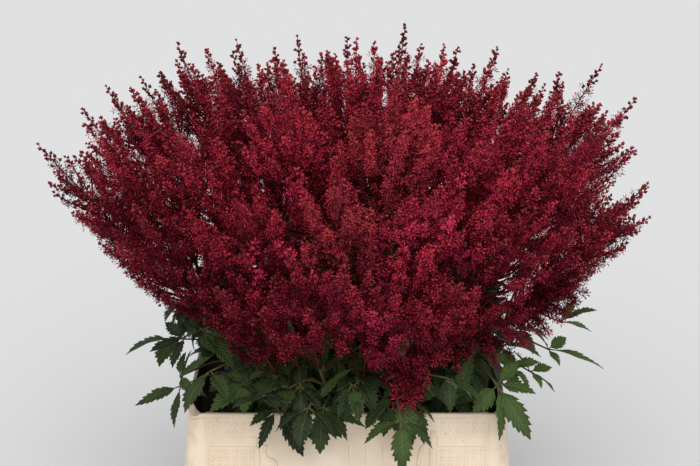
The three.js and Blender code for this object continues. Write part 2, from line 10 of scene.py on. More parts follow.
import bpy
import numpy as np
from bpy.props import (
    FloatProperty,
    FloatVectorProperty,
    IntProperty,
    PointerProperty,
)
from bpy.types import Operator, Panel, PropertyGroup
from mathutils import Vector
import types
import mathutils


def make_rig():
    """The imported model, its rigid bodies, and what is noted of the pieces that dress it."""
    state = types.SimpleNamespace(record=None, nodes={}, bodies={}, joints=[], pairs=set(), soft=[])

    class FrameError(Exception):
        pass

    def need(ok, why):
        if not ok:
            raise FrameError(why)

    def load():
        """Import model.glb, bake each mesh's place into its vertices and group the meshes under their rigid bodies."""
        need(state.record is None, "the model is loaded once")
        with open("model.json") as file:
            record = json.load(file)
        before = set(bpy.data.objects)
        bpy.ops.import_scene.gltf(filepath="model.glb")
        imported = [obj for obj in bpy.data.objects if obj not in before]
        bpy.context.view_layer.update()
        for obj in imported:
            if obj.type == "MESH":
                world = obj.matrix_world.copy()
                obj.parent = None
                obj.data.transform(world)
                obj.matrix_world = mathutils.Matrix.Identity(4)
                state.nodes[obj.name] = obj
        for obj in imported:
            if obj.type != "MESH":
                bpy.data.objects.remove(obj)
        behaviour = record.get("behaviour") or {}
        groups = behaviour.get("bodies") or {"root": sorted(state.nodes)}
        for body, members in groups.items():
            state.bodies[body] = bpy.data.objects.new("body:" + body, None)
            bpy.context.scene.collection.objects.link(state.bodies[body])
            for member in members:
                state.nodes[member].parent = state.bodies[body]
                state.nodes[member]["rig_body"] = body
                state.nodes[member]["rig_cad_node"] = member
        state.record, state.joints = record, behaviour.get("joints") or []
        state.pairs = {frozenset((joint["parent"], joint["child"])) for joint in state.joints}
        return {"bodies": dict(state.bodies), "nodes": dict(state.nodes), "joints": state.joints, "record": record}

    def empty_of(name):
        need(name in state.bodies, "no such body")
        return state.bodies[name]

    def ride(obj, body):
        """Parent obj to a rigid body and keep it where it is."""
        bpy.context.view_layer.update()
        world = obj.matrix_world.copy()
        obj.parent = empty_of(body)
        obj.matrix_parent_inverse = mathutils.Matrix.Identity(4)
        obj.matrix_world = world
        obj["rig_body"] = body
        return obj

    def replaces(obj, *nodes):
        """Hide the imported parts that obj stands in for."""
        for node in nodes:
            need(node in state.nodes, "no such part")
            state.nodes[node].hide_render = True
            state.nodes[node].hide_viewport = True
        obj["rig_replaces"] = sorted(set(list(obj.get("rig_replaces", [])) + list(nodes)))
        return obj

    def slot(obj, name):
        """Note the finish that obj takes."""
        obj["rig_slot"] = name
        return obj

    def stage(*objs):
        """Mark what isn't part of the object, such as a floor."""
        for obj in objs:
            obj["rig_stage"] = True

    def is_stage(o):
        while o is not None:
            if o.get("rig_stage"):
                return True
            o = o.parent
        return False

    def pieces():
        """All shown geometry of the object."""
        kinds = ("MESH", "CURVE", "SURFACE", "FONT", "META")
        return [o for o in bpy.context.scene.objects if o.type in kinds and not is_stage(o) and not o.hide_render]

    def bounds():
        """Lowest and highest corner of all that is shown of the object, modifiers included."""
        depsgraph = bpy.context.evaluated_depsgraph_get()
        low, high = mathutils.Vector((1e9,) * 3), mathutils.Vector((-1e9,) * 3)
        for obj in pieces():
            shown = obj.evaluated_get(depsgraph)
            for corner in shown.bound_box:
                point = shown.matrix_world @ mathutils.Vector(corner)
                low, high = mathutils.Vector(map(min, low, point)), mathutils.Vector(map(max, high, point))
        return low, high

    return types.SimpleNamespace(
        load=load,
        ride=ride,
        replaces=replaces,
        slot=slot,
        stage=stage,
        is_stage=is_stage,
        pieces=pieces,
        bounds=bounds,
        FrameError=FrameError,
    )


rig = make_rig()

bl_info = {
    "name": "Astilbe bouquet",
    "version": (1, 0, 0),
    "blender": (4, 5, 0),
    "location": "View3D > Sidebar > Astilbe",
    "description": "Builds the plumes, leafy stems, container, water and stage of an astilbe bouquet",
    "category": "Object",
}

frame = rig.load()
CAD_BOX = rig.bounds()
BODY = "root"
MM = 0.001
PLUME_SEED, STEM_SEED = 9000, 5000

# ---- sizes shared with the solids, in millimetres ----

HEIGHT, RIM_X, RIM_Y = 300.0, 200.0, 150.0  # of the container, and half its rim's width and depth
BELLY_Z, BELLY = 180.0, 10.0  # height of its widest line, and how far that stands out beyond the rim
WALL, FLOOR = 4.0, 8.0
GAP = 0.3  # clearance between pieces that rest together
CENTRE = np.array([0.0, 0.0, 150.0])  # the point that all plumes lean away from
WAIST = 118.0  # distance from there at which the stems of a bunch cross
FOOT = 1.25  # how much farther out a bunch stands on the floor than at its waist
PLUME_LENGTH = 0.45  # share of a plume's reach that carries florets
LEFT_LEAN, RIGHT_LEAN, FRONT_LEAN = 42.0, 45.5, 44.0  # lowest lean of plumes, in degrees from upright
NEIGHBOUR = 0.45  # cosine of the widest angle between plumes that may touch
GOLDEN = 2.39996  # golden angle
SETTLING = 4  # rounds in which bunches gather the plumes nearest to them
UP = np.array([0.0, 0.0, 1.0])

# Rows of plumes from front to back: forward slope, then sideways slope and reach of each
ROWS = [
    (-0.76, [(-0.42, 480), (-0.16, 486), (0.1, 456), (0.36, 480)]),
    (-0.52, [(-0.57, 545), (-0.29, 530), (-0.03, 545), (0.22, 540), (0.5, 548)]),
    (-0.3, [(-0.68, 600), (-0.4, 590), (-0.14, 600), (0.1, 618), (0.33, 592), (0.57, 618), (0.82, 590)]),
    (-0.08, [(-0.83, 609), (-0.55, 622), (-0.24, 606), (0.02, 606), (0.23, 612), (0.45, 600), (0.68, 640),
             (0.93, 560)]),
    (0.11, [(-0.7, 602), (-0.38, 618), (-0.11, 590), (0.125, 604), (0.34, 606), (0.6, 640)]),
    (0.33, [(-0.55, 600), (-0.27, 600), (0, 585), (0.24, 590), (0.5, 590), (0.76, 600)]),
    (0.56, [(-0.4, 550), (-0.13, 555), (0.14, 550), (0.42, 555)]),
    (0.8, [(-0.15, 495), (0.18, 500)]),
]

# Sideways and forward slope of the middle of each bunch
BUNCHES = [(-0.72, -0.05), (-0.45, -0.55), (-0.12, -0.62), (0.22, -0.62), (0.6, -0.4), (0.82, 0.02),
           (0.45, 0.35), (0.02, 0.52), (-0.4, 0.4), (-0.2, -0.05), (0.2, -0.05)]

# For each bunch, the tries of the leaf rule that found room
LEAVES = [(1, 6, 11), (40, 130, 311, 432, 465), (507, 2250, 6071), (5, 256, 6160, 6922), (5, 101, 330, 390, 718),
          (32, 70, 85), (8, 24, 27), (11, 81, 347), (18, 38, 43), (), ()]
LEAF_DRAWS = 19  # random numbers that one try takes
FINGER_SEED, LEAF_SEED = 700, 4100

# Three leaflets of a leaf: turn, length, half width
LEAFLETS = [(1.3, 66.0, 13.0), (0.0, 78.0, 16.0), (-1.3, 66.0, 13.0)]
LEAFLET_STALK = 0.15  # share of a leaflet's length that is its own short stalk

# Along a side branch: where its points are, and its share of thickness there
FINGER_AT = np.array([0, 0.36, 0.58, 0.8, 1])
FINGER_R = np.array([0.1, 1, 0.66, 0.86, 0])


class Draw:
    """Repeatable random numbers, in the run that the solids are set out with."""

    WHOLE, STEP = 0xFFFFFFFF, 0x6D2B79F5

    def __init__(self, seed, skip=0):
        self.state = (seed + self.STEP * skip) & self.WHOLE

    def __call__(self):
        whole = self.WHOLE
        self.state = (self.state + self.STEP) & whole
        t = self.state
        t = ((t ^ (t >> 15)) * (1 | t)) & whole
        t = ((t + (((t ^ (t >> 7)) * (61 | t)) & whole)) & whole) ^ t
        return ((t ^ (t >> 14)) & whole) / (whole + 1)


def unit(v):
    """v, or each row of it, with length 1."""
    v = np.asarray(v, float)
    return v / np.maximum(np.linalg.norm(v, axis=-1, keepdims=True), 1e-9)


def across(d):
    """Two directions square to d and to each other."""
    side = np.cross(UP, d)
    side = unit(side) if np.linalg.norm(side) > 1e-3 else np.array([1.0, 0, 0])
    return side, np.cross(d, side)


def round_at(side, other, angle):
    """The direction at an angle from side towards other, which are square to each other."""
    return side * math.cos(angle) + other * math.sin(angle)


def squares_to(axes):
    """For each direction, two more that are square to it and to each other."""
    helper = np.where(np.abs(axes[:, 2:]) > 0.9, np.array([[1.0, 0, 0]]), np.array([[0, 0, 1.0]]))
    side = unit(np.cross(helper, axes))
    return side, np.cross(axes, side)


def smooth_path(points, count):
    """count points on a smooth curve through the given ones, and the direction at each."""
    p = np.asarray(points, float)
    ends = np.vstack([2 * p[0] - p[1], p, 2 * p[-1] - p[-2]])
    t = np.linspace(0, len(p) - 1, count)
    i = np.minimum(t.astype(int), len(p) - 2)
    f = (t - i)[:, None]
    a, b, c, d = ends[i], ends[i + 1], ends[i + 2], ends[i + 3]
    out = 0.5 * (2 * b + (c - a) * f + (2 * a - 5 * b + 4 * c - d) * f ** 2
                 + (3 * b - a - 3 * c + d) * f ** 3)
    return out, unit(np.gradient(out, axis=0))


# ---- where everything goes ----


class Plume:
    """A plume's direction, and where along it the florets start and how far they go on."""

    def __init__(self, u, v, reach):
        self.d = unit([u, v, 1.0])
        self.base = reach * (1 - PLUME_LENGTH)
        self.span = reach - self.base


class Bunch:
    """A bunch's direction, its plumes, and the middle of its waist and foot."""

    def __init__(self, d):
        self.d, self.plumes = d, []
        self.waist = CENTRE + d * WAIST
        self.foot = np.array([d[0] * WAIST * FOOT, d[1] * WAIST * FOOT, FLOOR + GAP])


def nearest(d, centres):
    """Which of the centres a direction lies closest to."""
    return int(np.argmax([c @ d for c in centres]))


def skirt(d):
    """The plane that keeps a plume above the leaves on its own side."""
    flat = math.hypot(d[0], d[1]) or 1.0
    side_lean = LEFT_LEAN if d[0] < 0 else RIGHT_LEAN
    lean = math.radians(FRONT_LEAN + (side_lean - FRONT_LEAN) * (d[0] / flat) ** 2)
    return np.array([math.cos(lean) * d[0] / flat, math.cos(lean) * d[1] / flat, -math.sin(lean)])


def arrange():
    """Plumes and bunches, each plume with the planes that part it from its neighbours."""
    plumes = [Plume(u, v, reach) for v, stems in ROWS for u, reach in stems]
    centres = [unit([u, v, 1.0]) for u, v in BUNCHES]
    for _ in range(SETTLING):
        sums = [np.zeros(3) for _ in centres]
        for plume in plumes:
            sums[nearest(plume.d, centres)] += plume.d
        centres = [unit(s) if s @ s else c for s, c in zip(sums, centres)]
    bunches = [Bunch(c) for c in centres]
    for plume in plumes:
        bunches[nearest(plume.d, centres)].plumes.append(plume)
        others = [p.d for p in plumes if p is not plume and p.d @ plume.d > NEIGHBOUR]
        plume.walls = np.array([unit(o - plume.d) for o in others] + [skirt(plume.d)])
    return plumes, bunches


PLUMES, BOUQUET = arrange()

# ---- meshes ----


class Shell:
    """Points and faces gathered into one mesh, with a four-number finish at each point."""

    def __init__(self):
        self.points, self.faces, self.finish, self.kinds = [], [], [], []
        self.count = 0

    def add(self, points, faces, finish, kind=0):
        """faces is an array of triangles or of quads; finish is one row for all or one a point."""
        points = np.asarray(points, float).reshape(-1, 3)
        faces = np.asarray(faces, int)
        self.points.append(points)
        self.faces.append(faces + self.count)
        self.finish.append(np.broadcast_to(np.asarray(finish, float), (len(points), 4)))
        self.kinds.append(np.full(len(faces), kind))
        self.count += len(points)

    def piece(self, name, materials):
        """The gathered mesh as an object that rides on the body."""
        points = np.vstack(self.points) * MM
        loops = np.concatenate([f.ravel() for f in self.faces])
        sizes = np.concatenate([np.full(len(f), f.shape[1]) for f in self.faces])
        mesh = bpy.data.meshes.new(name)
        mesh.vertices.add(len(points))
        mesh.vertices.foreach_set("co", points.astype(np.float32).ravel())
        mesh.loops.add(len(loops))
        mesh.loops.foreach_set("vertex_index", loops.astype(np.int32))
        mesh.polygons.add(len(sizes))
        mesh.polygons.foreach_set("loop_start", (np.cumsum(sizes) - sizes).astype(np.int32))
        mesh.polygons.foreach_set("material_index", np.concatenate(self.kinds).astype(np.int32))
        mesh.polygons.foreach_set("use_smooth", np.full(len(sizes), True))
        finish = mesh.attributes.new("finish", "FLOAT_COLOR", "POINT")
        finish.data.foreach_set("color", np.vstack(self.finish).astype(np.float32).ravel())
        mesh.update(calc_edges=True)
        mesh.validate()
        for material in materials:
            mesh.materials.append(material)
        obj = bpy.data.objects.new(name, mesh)
        bpy.context.scene.collection.objects.link(obj)
        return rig.ride(obj, BODY)


def ring_faces(rings, sides, first_cap=True, last_cap=True):
    """Triangles of a tube of rings, each ring with the same number of sides."""
    faces = []
    k = np.arange(sides)
    after = (k + 1) % sides
    for i in range(rings - 1):
        a, b = i * sides + k, i * sides + after
        faces += [np.stack([a, b, a + sides], 1), np.stack([b, b + sides, a + sides], 1)]
    fan = np.arange(1, sides - 1)
    zero = np.zeros(sides - 2, int)
    if first_cap:
        faces.append(np.stack([zero, fan + 1, fan], 1))
    if last_cap:
        top = (rings - 1) * sides
        faces.append(np.stack([zero + top, fan + top, fan + 1 + top], 1))
    return np.vstack(faces)


def add_tube(shell, points, radii, sides, finish, kind=0):
    """A tube of round section through points."""
    points = np.asarray(points, float)
    ahead = unit(np.gradient(points, axis=0))
    side = np.array([0.36, 0.48, 0.8])
    if abs(side @ ahead[0]) > 0.9:
        side = np.array([0.8, -0.6, 0.0])
    angles = 2 * np.pi * np.arange(sides) / sides
    rings = []
    for p, d, r in zip(points, ahead, radii):
        side = unit(side - (side @ d) * d)
        rings.append(p + r * (np.outer(np.cos(angles), side) + np.outer(np.sin(angles), np.cross(d, side))))
    finish = np.asarray(finish, float)
    if finish.ndim == 2:
        finish = np.repeat(finish, sides, axis=0)
    shell.add(np.vstack(rings), ring_faces(len(points), sides), finish, kind)


def repeated(faces, copies, points):
    """Faces of a small form with a number of points, again for each of its copies."""
    return (np.asarray(faces)[None] + (np.arange(copies) * points)[:, None, None]).reshape(-1, 3)


def add_copies(shell, model, faces, places, axes, sizes, turns, finish):
    """Copies of a small form: its +Z turned to each axis, then scaled, set at each place."""
    if not len(places):
        return
    axes = unit(axes)
    side, other = squares_to(axes)
    c, s = np.cos(turns)[:, None], np.sin(turns)[:, None]
    x, y = side * c + other * s, other * c - side * s
    model = np.asarray(model, float)
    points = (places[:, None]
              + sizes[:, None, None] * (model[None, :, :1] * x[:, None] + model[None, :, 1:2] * y[:, None]
                                        + model[None, :, 2:] * axes[:, None]))
    shell.add(points.reshape(-1, 3), repeated(faces, len(places), len(model)), finish)


# ---- materials ----


class Wire:
    """A value in a material; sums on it add their Math nodes."""

    def __init__(self, paint, socket):
        self.paint, self.socket = paint, socket

    def sum(self, operation, *values, clamp=False):
        inputs = dict(enumerate(values))
        return self.paint.node("ShaderNodeMath", {"operation": operation, "use_clamp": clamp}, inputs)

    def __add__(self, other):
        return self.sum("ADD", self, other)

    def __sub__(self, other):
        return self.sum("SUBTRACT", self, other)

    def __rsub__(self, other):
        return self.sum("SUBTRACT", other, self)

    def __mul__(self, other):
        return self.sum("MULTIPLY", self, other)

    __radd__, __rmul__ = __add__, __mul__

    def __abs__(self):
        return self.sum("ABSOLUTE", self)

    def fraction(self):
        return self.sum("FRACT", self)

    def clamp(self):
        return self.sum("ADD", self, 0.0, clamp=True)

    def step(self, low, high):
        """0 below low, 1 above high and smooth between."""
        settings = {"interpolation_type": "SMOOTHSTEP"}
        return self.paint.node("ShaderNodeMapRange", settings, {0: self, 1: low, 2: high})


class Paint:
    """The nodes of one material round its main shader."""

    def __init__(self, name, **fixed):
        self.material = bpy.data.materials.new(name)
        self.material.use_nodes = True
        self.tree = self.material.node_tree
        self.shader = self.tree.nodes["Principled BSDF"]
        for socket, value in fixed.items():
            self.shader.inputs[socket.replace("_", " ")].default_value = value

    def node(self, kind, settings=None, inputs=None, output=0):
        """Any node: settings are set first, then the values or wires of its sockets."""
        made = self.tree.nodes.new(kind)
        for key, value in (settings or {}).items():
            setattr(made, key, value)
        for key, value in (inputs or {}).items():
            if isinstance(value, Wire):
                self.tree.links.new(value.socket, made.inputs[key])
            else:
                made.inputs[key].default_value = value
        return Wire(self, made.outputs[output])

    def feed(self, socket, wire):
        """Links a wire to a socket of the main shader."""
        self.tree.links.new(wire.socket, self.shader.inputs[socket])

    def place(self, stretch=None):
        """The place on the object, or that with each axis scaled."""
        place = self.node("ShaderNodeTexCoord", output="Object")
        if not stretch:
            return place
        return self.node("ShaderNodeMapping", {"vector_type": "POINT"}, {0: place, 3: stretch})

    def noise(self, scale, detail=3.0, roughness=0.5, place=None):
        inputs = {"Vector": place or self.place(), "Scale": scale, "Detail": detail, "Roughness": roughness}
        return self.node("ShaderNodeTexNoise", None, inputs, "Fac")

    def cells(self, scale, place=None, feature="F1"):
        inputs = {"Vector": place or self.place(), "Scale": scale}
        return self.node("ShaderNodeTexVoronoi", {"feature": feature}, inputs, "Distance")

    def blend(self, share, a, b, how="MIX"):
        """Two colours mixed by a share."""
        settings = {"data_type": "RGBA", "blend_type": how, "clamp_factor": True}
        return self.node("ShaderNodeMix", settings, {0: share, 6: a, 7: b}, 2)

    def finish(self, part):
        """One number of the finish that the mesh carries: Red, Green, Blue or Alpha."""
        output = "Alpha" if part == "Alpha" else "Color"
        carried = self.node("ShaderNodeAttribute", {"attribute_name": "finish"}, None, output)
        return carried if part == "Alpha" else self.node("ShaderNodeSeparateColor", None, {0: carried}, part)

    def bump(self, height, strength, distance):
        inputs = {"Height": height, "Strength": strength, "Distance": distance}
        self.feed("Normal", self.node("ShaderNodeBump", None, inputs, "Normal"))


def plume_material(look):
    """Astilbe florets: tone in Red, rosiness in Green, fading to brown in Blue."""
    p = Paint("astilbe_floret", Specular_IOR_Level=0.03)
    tone, pink, brown = p.finish("Red"), p.finish("Green"), p.finish("Blue")
    speckle = p.noise(420.0, 2.0) - 0.5
    deep = p.blend((tone + 0.5 * speckle).clamp(), look.deep, look.bright)
    rosy = p.blend((pink + 0.35 * speckle).clamp(), deep, look.pink)
    p.feed("Base Color", p.blend(brown.clamp(), rosy, look.brown))
    p.feed("Roughness", 0.62 + 0.25 * p.noise(300.0, 2.0))
    p.bump(p.noise(1100.0, 2.0), 0.35, 0.0006)
    return p.material


def leaf_material(look):
    """Leaf blade: across in Red, along in Green, tone with painted light and shade in Blue, underside in Alpha."""
    p = Paint("astilbe_leaf", Specular_IOR_Level=0.25)
    side, along = abs(p.finish("Red")), p.finish("Green")
    shade, under = p.finish("Blue"), p.finish("Alpha")
    rib = 1.0 - side.step(0.02, 0.09)
    lane = abs((along * 9.0 - side * 2.3).fraction() - 0.5)
    vein = (1.0 - lane.step(0.03, 0.12)) * (1.0 - side.step(0.75, 1.0)) * 0.6
    net = 1.0 - p.cells(210.0, feature="DISTANCE_TO_EDGE").step(0.02, 0.14)
    lines = (rib + vein + 0.3 * net).clamp()
    mottle = p.noise(38.0, 4.0)
    swell = lane.step(0.05, 0.5)
    top = p.blend((shade * 0.8 + 0.5 * (mottle - 0.5) + 0.14 * (swell - 0.5)).clamp(), look.dark, look.light)
    top = p.blend(lines * 0.36, top, look.vein)
    below = p.blend(lines * 0.4, look.under, look.vein)
    edge = side.step(0.88, 1.02) * p.noise(90.0, 2.0).step(0.45, 0.7) * 0.35
    p.feed("Base Color", p.blend(edge, p.blend(under, top, below), look.rust))
    p.feed("Roughness", 0.42 + 0.22 * mottle + 0.15 * under)
    p.bump(mottle * 0.35 + swell * 0.9 - lines * 0.6 + 0.3 * p.noise(500.0, 2.0), 0.6, 0.0011)
    return p.material


def stem_material(look):
    """Stems and leaf stalks: reddish share in Red, age in Green."""
    p = Paint("astilbe_stem", Specular_IOR_Level=0.35)
    fibre = p.noise(520.0, 3.0, place=p.place((1.0, 1.0, 0.12)))
    green = p.blend(fibre, look.stalk, look.stalk_light)
    red = (p.finish("Red") + 0.4 * (p.noise(60.0, 3.0) - 0.5)).clamp()
    p.feed("Base Color", p.blend(red, green, look.petiole))
    p.feed("Roughness", 0.5 + 0.25 * fibre)
    p.bump(fibre, 0.4, 0.0004)
    return p.material


def plastic_material(look):
    """Cream moulded plastic: grime with painted shade in Red, painted shade inside the walls in Green, with flow
    marks, scuffs and specks of dirt.
    """
    p = Paint("cream_plastic", Specular_IOR_Level=0.4)
    cloud = p.noise(9.0, 4.0, place=p.place((1.0, 1.0, 0.35)))
    base = p.blend(cloud.step(0.35, 0.7), look.cream, look.cream_shade)
    # grime and painted shade: darker and mottled where the finish's Red is high, in the groove under the rim, the
    # corner scoops and inside
    grime_and_shade = p.finish("Red") * p.noise(45.0, 5.0, 0.65).step(0.3, 0.75)
    base = p.blend((grime_and_shade * 0.8).clamp(), base, look.grime_and_shade)
    # painted shade: the inside of the walls is darkened where the finish's Green is high
    base = p.blend((p.finish("Green") * (0.8 + 0.3 * p.noise(25.0, 4.0))).clamp(), base, look.inside_shade)
    speck = (1.0 - p.cells(75.0).step(0.05, 0.12)) * p.noise(30.0, 2.0).step(0.52, 0.62)
    scuff = p.noise(160.0, 6.0, 0.7, p.place((0.2, 1.0, 1.6))).step(0.62, 0.74)
    base = p.blend(scuff * 0.22, base, look.scuff)
    p.feed("Base Color", p.blend(speck * 0.65, base, look.dirt))
    p.feed("Roughness", 0.44 + 0.16 * cloud + 0.2 * scuff)
    p.bump(p.noise(900.0, 2.0) * 0.5 + 0.4 * cloud - 0.3 * scuff, 0.25, 0.0005)
    return p.material


def water_material(look):
    """Vase water, faintly green, with still ripples."""
    p = Paint("vase_water", Transmission_Weight=1.0, IOR=1.33)
    dust = p.noise(120.0, 5.0, 0.6).step(0.62, 0.72)
    p.feed("Base Color", p.blend(dust * 0.5, look.water, look.water_dust))
    p.feed("Roughness", 0.03 + 0.25 * dust)
    p.bump(p.noise(14.0, 2.0), 0.15, 0.004)
    return p.material


# ---- plumes ----

# A closed bud, a bead with a slight point
BEAD = [(0.5, 0, 0), (-0.25, 0.43, 0), (-0.25, -0.43, 0), (0, 0, 0.6), (0, 0, -0.52)]
BEAD_FACES = [(0, 1, 3), (1, 2, 3), (2, 0, 3), (1, 0, 4), (2, 1, 4), (0, 2, 4)]
BEAD_TONE = np.array([0, 0, 0, 0.15, -0.2])


def open_floret(petals, reach, wide):
    """An open floret: petals that spread from one point, by turns high and low, and widen outwards."""
    points, faces = [(0.0, 0.0, 0.0)], []
    for k in range(petals):
        turn, rise = 2 * math.pi * k / petals, (0.1, 0.85)[k % 2]
        out = np.array([math.cos(rise) * math.cos(turn), math.cos(rise) * math.sin(turn), math.sin(rise)])
        side = np.array([-math.sin(turn), math.cos(turn), 0.5 - k % 2])
        points += [reach * out - wide * side, reach * out + wide * side]
        faces.append((0, 2 * k + 1, 2 * k + 2))
    return np.array(points), faces


PETALS = 6
FLORET, FLORET_FACES = open_floret(PETALS, 0.68, 0.095)
FLORET_TONE = np.array([-0.35] + [0.1, 0.36] * PETALS)

# Finishes: a plume's stalk, and what lies deep among its florets, dark as painted shade
STALK_FINISH, DEEP_SHADE_FINISH = (0.0, 0.0, 0.4, 1.0), (0.1, 0.02, 0.05, 1.0)

# Plumes that fade, and how much brighter or pinker than the rest some are
FADING = {6, 12}
BRIGHTER = {1: -0.14, 2: -0.06, 3: 0.28, 5: -0.02, 6: -0.02, 7: 0.08, 11: 0.12, 12: -0.04}
PINKNESS = {1: 0.08, 2: 0.14, 3: 0.1, 5: 0.1, 6: 0.08, 7: 0.18, 8: 0.1, 13: 0.14, 14: 0.12}

# Tone by height: low florets lie in shade, and the highest are a little darker
TONE_AT, TONE_BY_HEIGHT = [410, 500, 530, 590, 600, 690], [-0.4, -0.2125, -0.1, 0, 0, -0.08]

# Rosier, fresher tufts: middle and radius
TUFTS = np.array([
    (28, -281, 485, 14), (28, -283, 472, 12), (44, -241, 444, 11), (-32, -220, 539, 9), (-40, -248, 524, 12),
    (52, -203, 556, 10), (40, -130, 560, 14), (79, -245, 581, 12), (-77, -237, 550, 11), (-110, -238, 533, 10),
    (-108, -238, 512, 11), (-29, -136, 618, 12), (129, -202, 620, 12), (119, -238, 577, 12), (71, -241, 565, 11),
], float)

# Side branches that droop over the rim: for each plume, three points along each of them
HANGING = {
    3: [(72, -152, 366, 66, -176, 362, 56, -190, 342), (75, -155, 362, 80, -182, 356, 77, -196, 330),
        (80, -155, 368, 92, -178, 372, 96, -192, 356), (70, -150, 370, 58, -180, 376, 46, -200, 362),
        (72, -152, 366, 70, -180, 366, 66, -202, 348), (76, -150, 366, 77, -178, 354, 71, -199, 324),
        (74, -150, 366, 66, -176, 352, 60, -196, 328), (78, -152, 366, 88, -178, 350, 87, -197, 326)],
    8: [(128, -133, 404, 145, -165, 408, 150, -190, 388), (132, -137, 412, 162, -168, 418, 176, -188, 398),
        (136, -142, 420, 182, -160, 426, 202, -176, 408), (126, -131, 400, 132, -168, 398, 134, -196, 374),
        (130, -135, 408, 165, -160, 400, 184, -172, 374), (134, -139, 414, 178, -160, 408, 206, -170, 386),
        (138, -143, 424, 190, -158, 420, 218, -168, 398)],
    15: [(204, -75, 400, 226, -105, 420, 240, -122, 412), (204, -75, 400, 220, -110, 404, 226, -134, 384),
         (208, -76, 404, 238, -106, 408, 252, -128, 398), (214, -78, 412, 256, -98, 426, 280, -116, 418),
         (220, -80, 420, 268, -96, 446, 300, -108, 444), (206, -75, 402, 230, -100, 412, 246, -116, 396),
         (210, -77, 408, 248, -100, 418, 270, -114, 408), (216, -79, 414, 262, -94, 436, 292, -106, 430),
         (212, -78, 410, 236, -96, 424, 262, -100, 418), (206, -75, 402, 222, -96, 406, 238, -108, 392),
         (208, -76, 404, 240, -98, 424, 262, -108, 420), (214, -78, 412, 262, -88, 440, 286, -92, 432)],
}
HANGING_RADIUS, HANGING_SHARE = 12.5, 0.4  # reach of their branchlets, and how far they take the painted shade of side branches


def finger_points(plume, finger):
    """Points of a side branch, which leaves the stalk at an angle and curls up towards its tip."""
    here = plume.d * finger["from"]
    points = [here]
    for before, at in zip(FINGER_AT, FINGER_AT[1:]):
        step = (at - before) * finger["length"]
        lean = finger["lean"] * (1 - finger["curl"] * at)
        here = here + round_at(plume.d, finger["out"], lean) * step
        points.append(here)
    return np.array(points)


def finger_fits(plume, finger, points, spare):
    """Whether a side branch keeps off its neighbours' planes, and off the leaves' plane, which is the last."""
    wide = FINGER_R[1:] * finger["radius"]
    margins = np.repeat((wide + spare)[:, None], len(plume.walls), axis=1)
    margins[:, -1] = np.maximum(margins[:, -1], wide * 0.6)
    return bool(np.all(points[1:] @ plume.walls.T <= -margins))


def settle(plume, finger, spare=GAP):
    """Shortens a side branch until it keeps clear of the plumes round it, and tells whether it does."""
    shortest, shrink, stoutest = 12, 0.95, 0.22
    points = finger_points(plume, finger)
    while not finger_fits(plume, finger, points, spare) and finger["length"] > shortest:
        finger["length"] *= shrink
        finger["lean"] *= shrink
        finger["radius"] = min(finger["radius"], stoutest * finger["length"])
        points = finger_points(plume, finger)
    finger["points"] = points
    return finger_fits(plume, finger, points, spare)


def main_fingers(plume, index):
    """The side branches that the solids have."""
    draw = Draw(FINGER_SEED + index * 13)
    side, other = across(plume.d)
    count = 4 if plume.d[1] > 0.2 else 6 if plume.d[1] > -0.2 else 7
    turn = draw() * 2 * math.pi
    fingers = []
    for i in range(count):
        share = i / (count - 1)
        finger = {
            "out": round_at(side, other, turn + i * GOLDEN + (draw() - 0.5) * 0.5),
            "from": plume.base + plume.span * (0.06 + 0.58 * share + (draw() - 0.5) * 0.05),
            "length": plume.span * (0.43 - 0.21 * share) * (0.85 + 0.3 * draw()),
            "lean": 1.15 - 0.35 * share + (draw() - 0.5) * 0.2,
            "curl": 0.45,
            "radius": 14.5 - 5.5 * share,
        }
        if settle(plume, finger):
            fingers.append(finger)
    return fingers


# Only leaves show over the middle of the front rim: the front, left, right and top of that place,
# and how much higher it goes in a stretch within a half width of its middle
BARE_FRONT, BARE_LEFT, BARE_RIGHT, BARE_TOP = -110, -105, 25, 394
HIGHER, HIGHER_MIDDLE, HIGHER_HALF = 26, -25, 37


def over_leaves(points):
    """Which points are low over the middle of the front rim."""
    x, y, z = np.moveaxis(points, -1, 0)
    top = BARE_TOP + HIGHER * (np.abs(x - HIGHER_MIDDLE) < HIGHER_HALF)
    return (y < BARE_FRONT) & (x > BARE_LEFT) & (x < BARE_RIGHT) & (z < top)


def fine_fingers(plume, rng, count):
    """More side branches, thinner, between the main ones and all the way up.

    Every third one of the upright plumes is steep, and stands up as a spire of its own.
    """
    side, other = across(plume.d)
    turn = rng.uniform(0, 2 * math.pi)
    width = np.interp(plume.d[1], [-0.3, 0.0, 0.3], [0.32, 0.27, 0.3]) * rng.uniform(0.8, 1.25)
    width += 0.08 * min(abs(plume.d[0]), 0.5)
    highest = np.interp(plume.d[1], [-0.3, -0.1], [0.7, 0.72])
    fingers = []
    for i in range(count):
        share = (i + 0.5) / count
        angle = turn + i * GOLDEN + rng.uniform(-0.25, 0.25)
        start = plume.span * (highest * share ** 0.9 - 0.01)
        left = plume.span - start
        steep = i % 3 == 1 and share < 0.75 and abs(plume.d[0]) < 0.52
        aside = left * width * (rng.uniform(0.45, 0.85) if steep else rng.uniform(0.7, 1.25))
        rise = left * (rng.uniform(0.6, 0.86) if steep else rng.uniform(0.32, 0.6))
        finger = {
            "out": round_at(side, other, angle),
            "from": plume.base + start,
            "length": 1.06 * math.hypot(aside, rise),
            "lean": min(math.atan2(aside, rise) / 0.525, 1.4),
            "curl": 0.75,
            "radius": (10.0 - 4.5 * share) * rng.uniform(0.85, 1.15),
        }
        if settle(plume, finger, -12.0) and not over_leaves(CENTRE + finger["points"])[-1]:
            fingers.append(finger)
    return fingers


# Thickness along a branch of its packed inner florets, as a share of its branchlets' reach
CORE_AT, CORE_R = [0, 0.15, 0.35, 0.55, 0.75, 0.9, 1], [0.14, 0.2, 0.18, 0.1, 0.04, 0.02, 0.02]


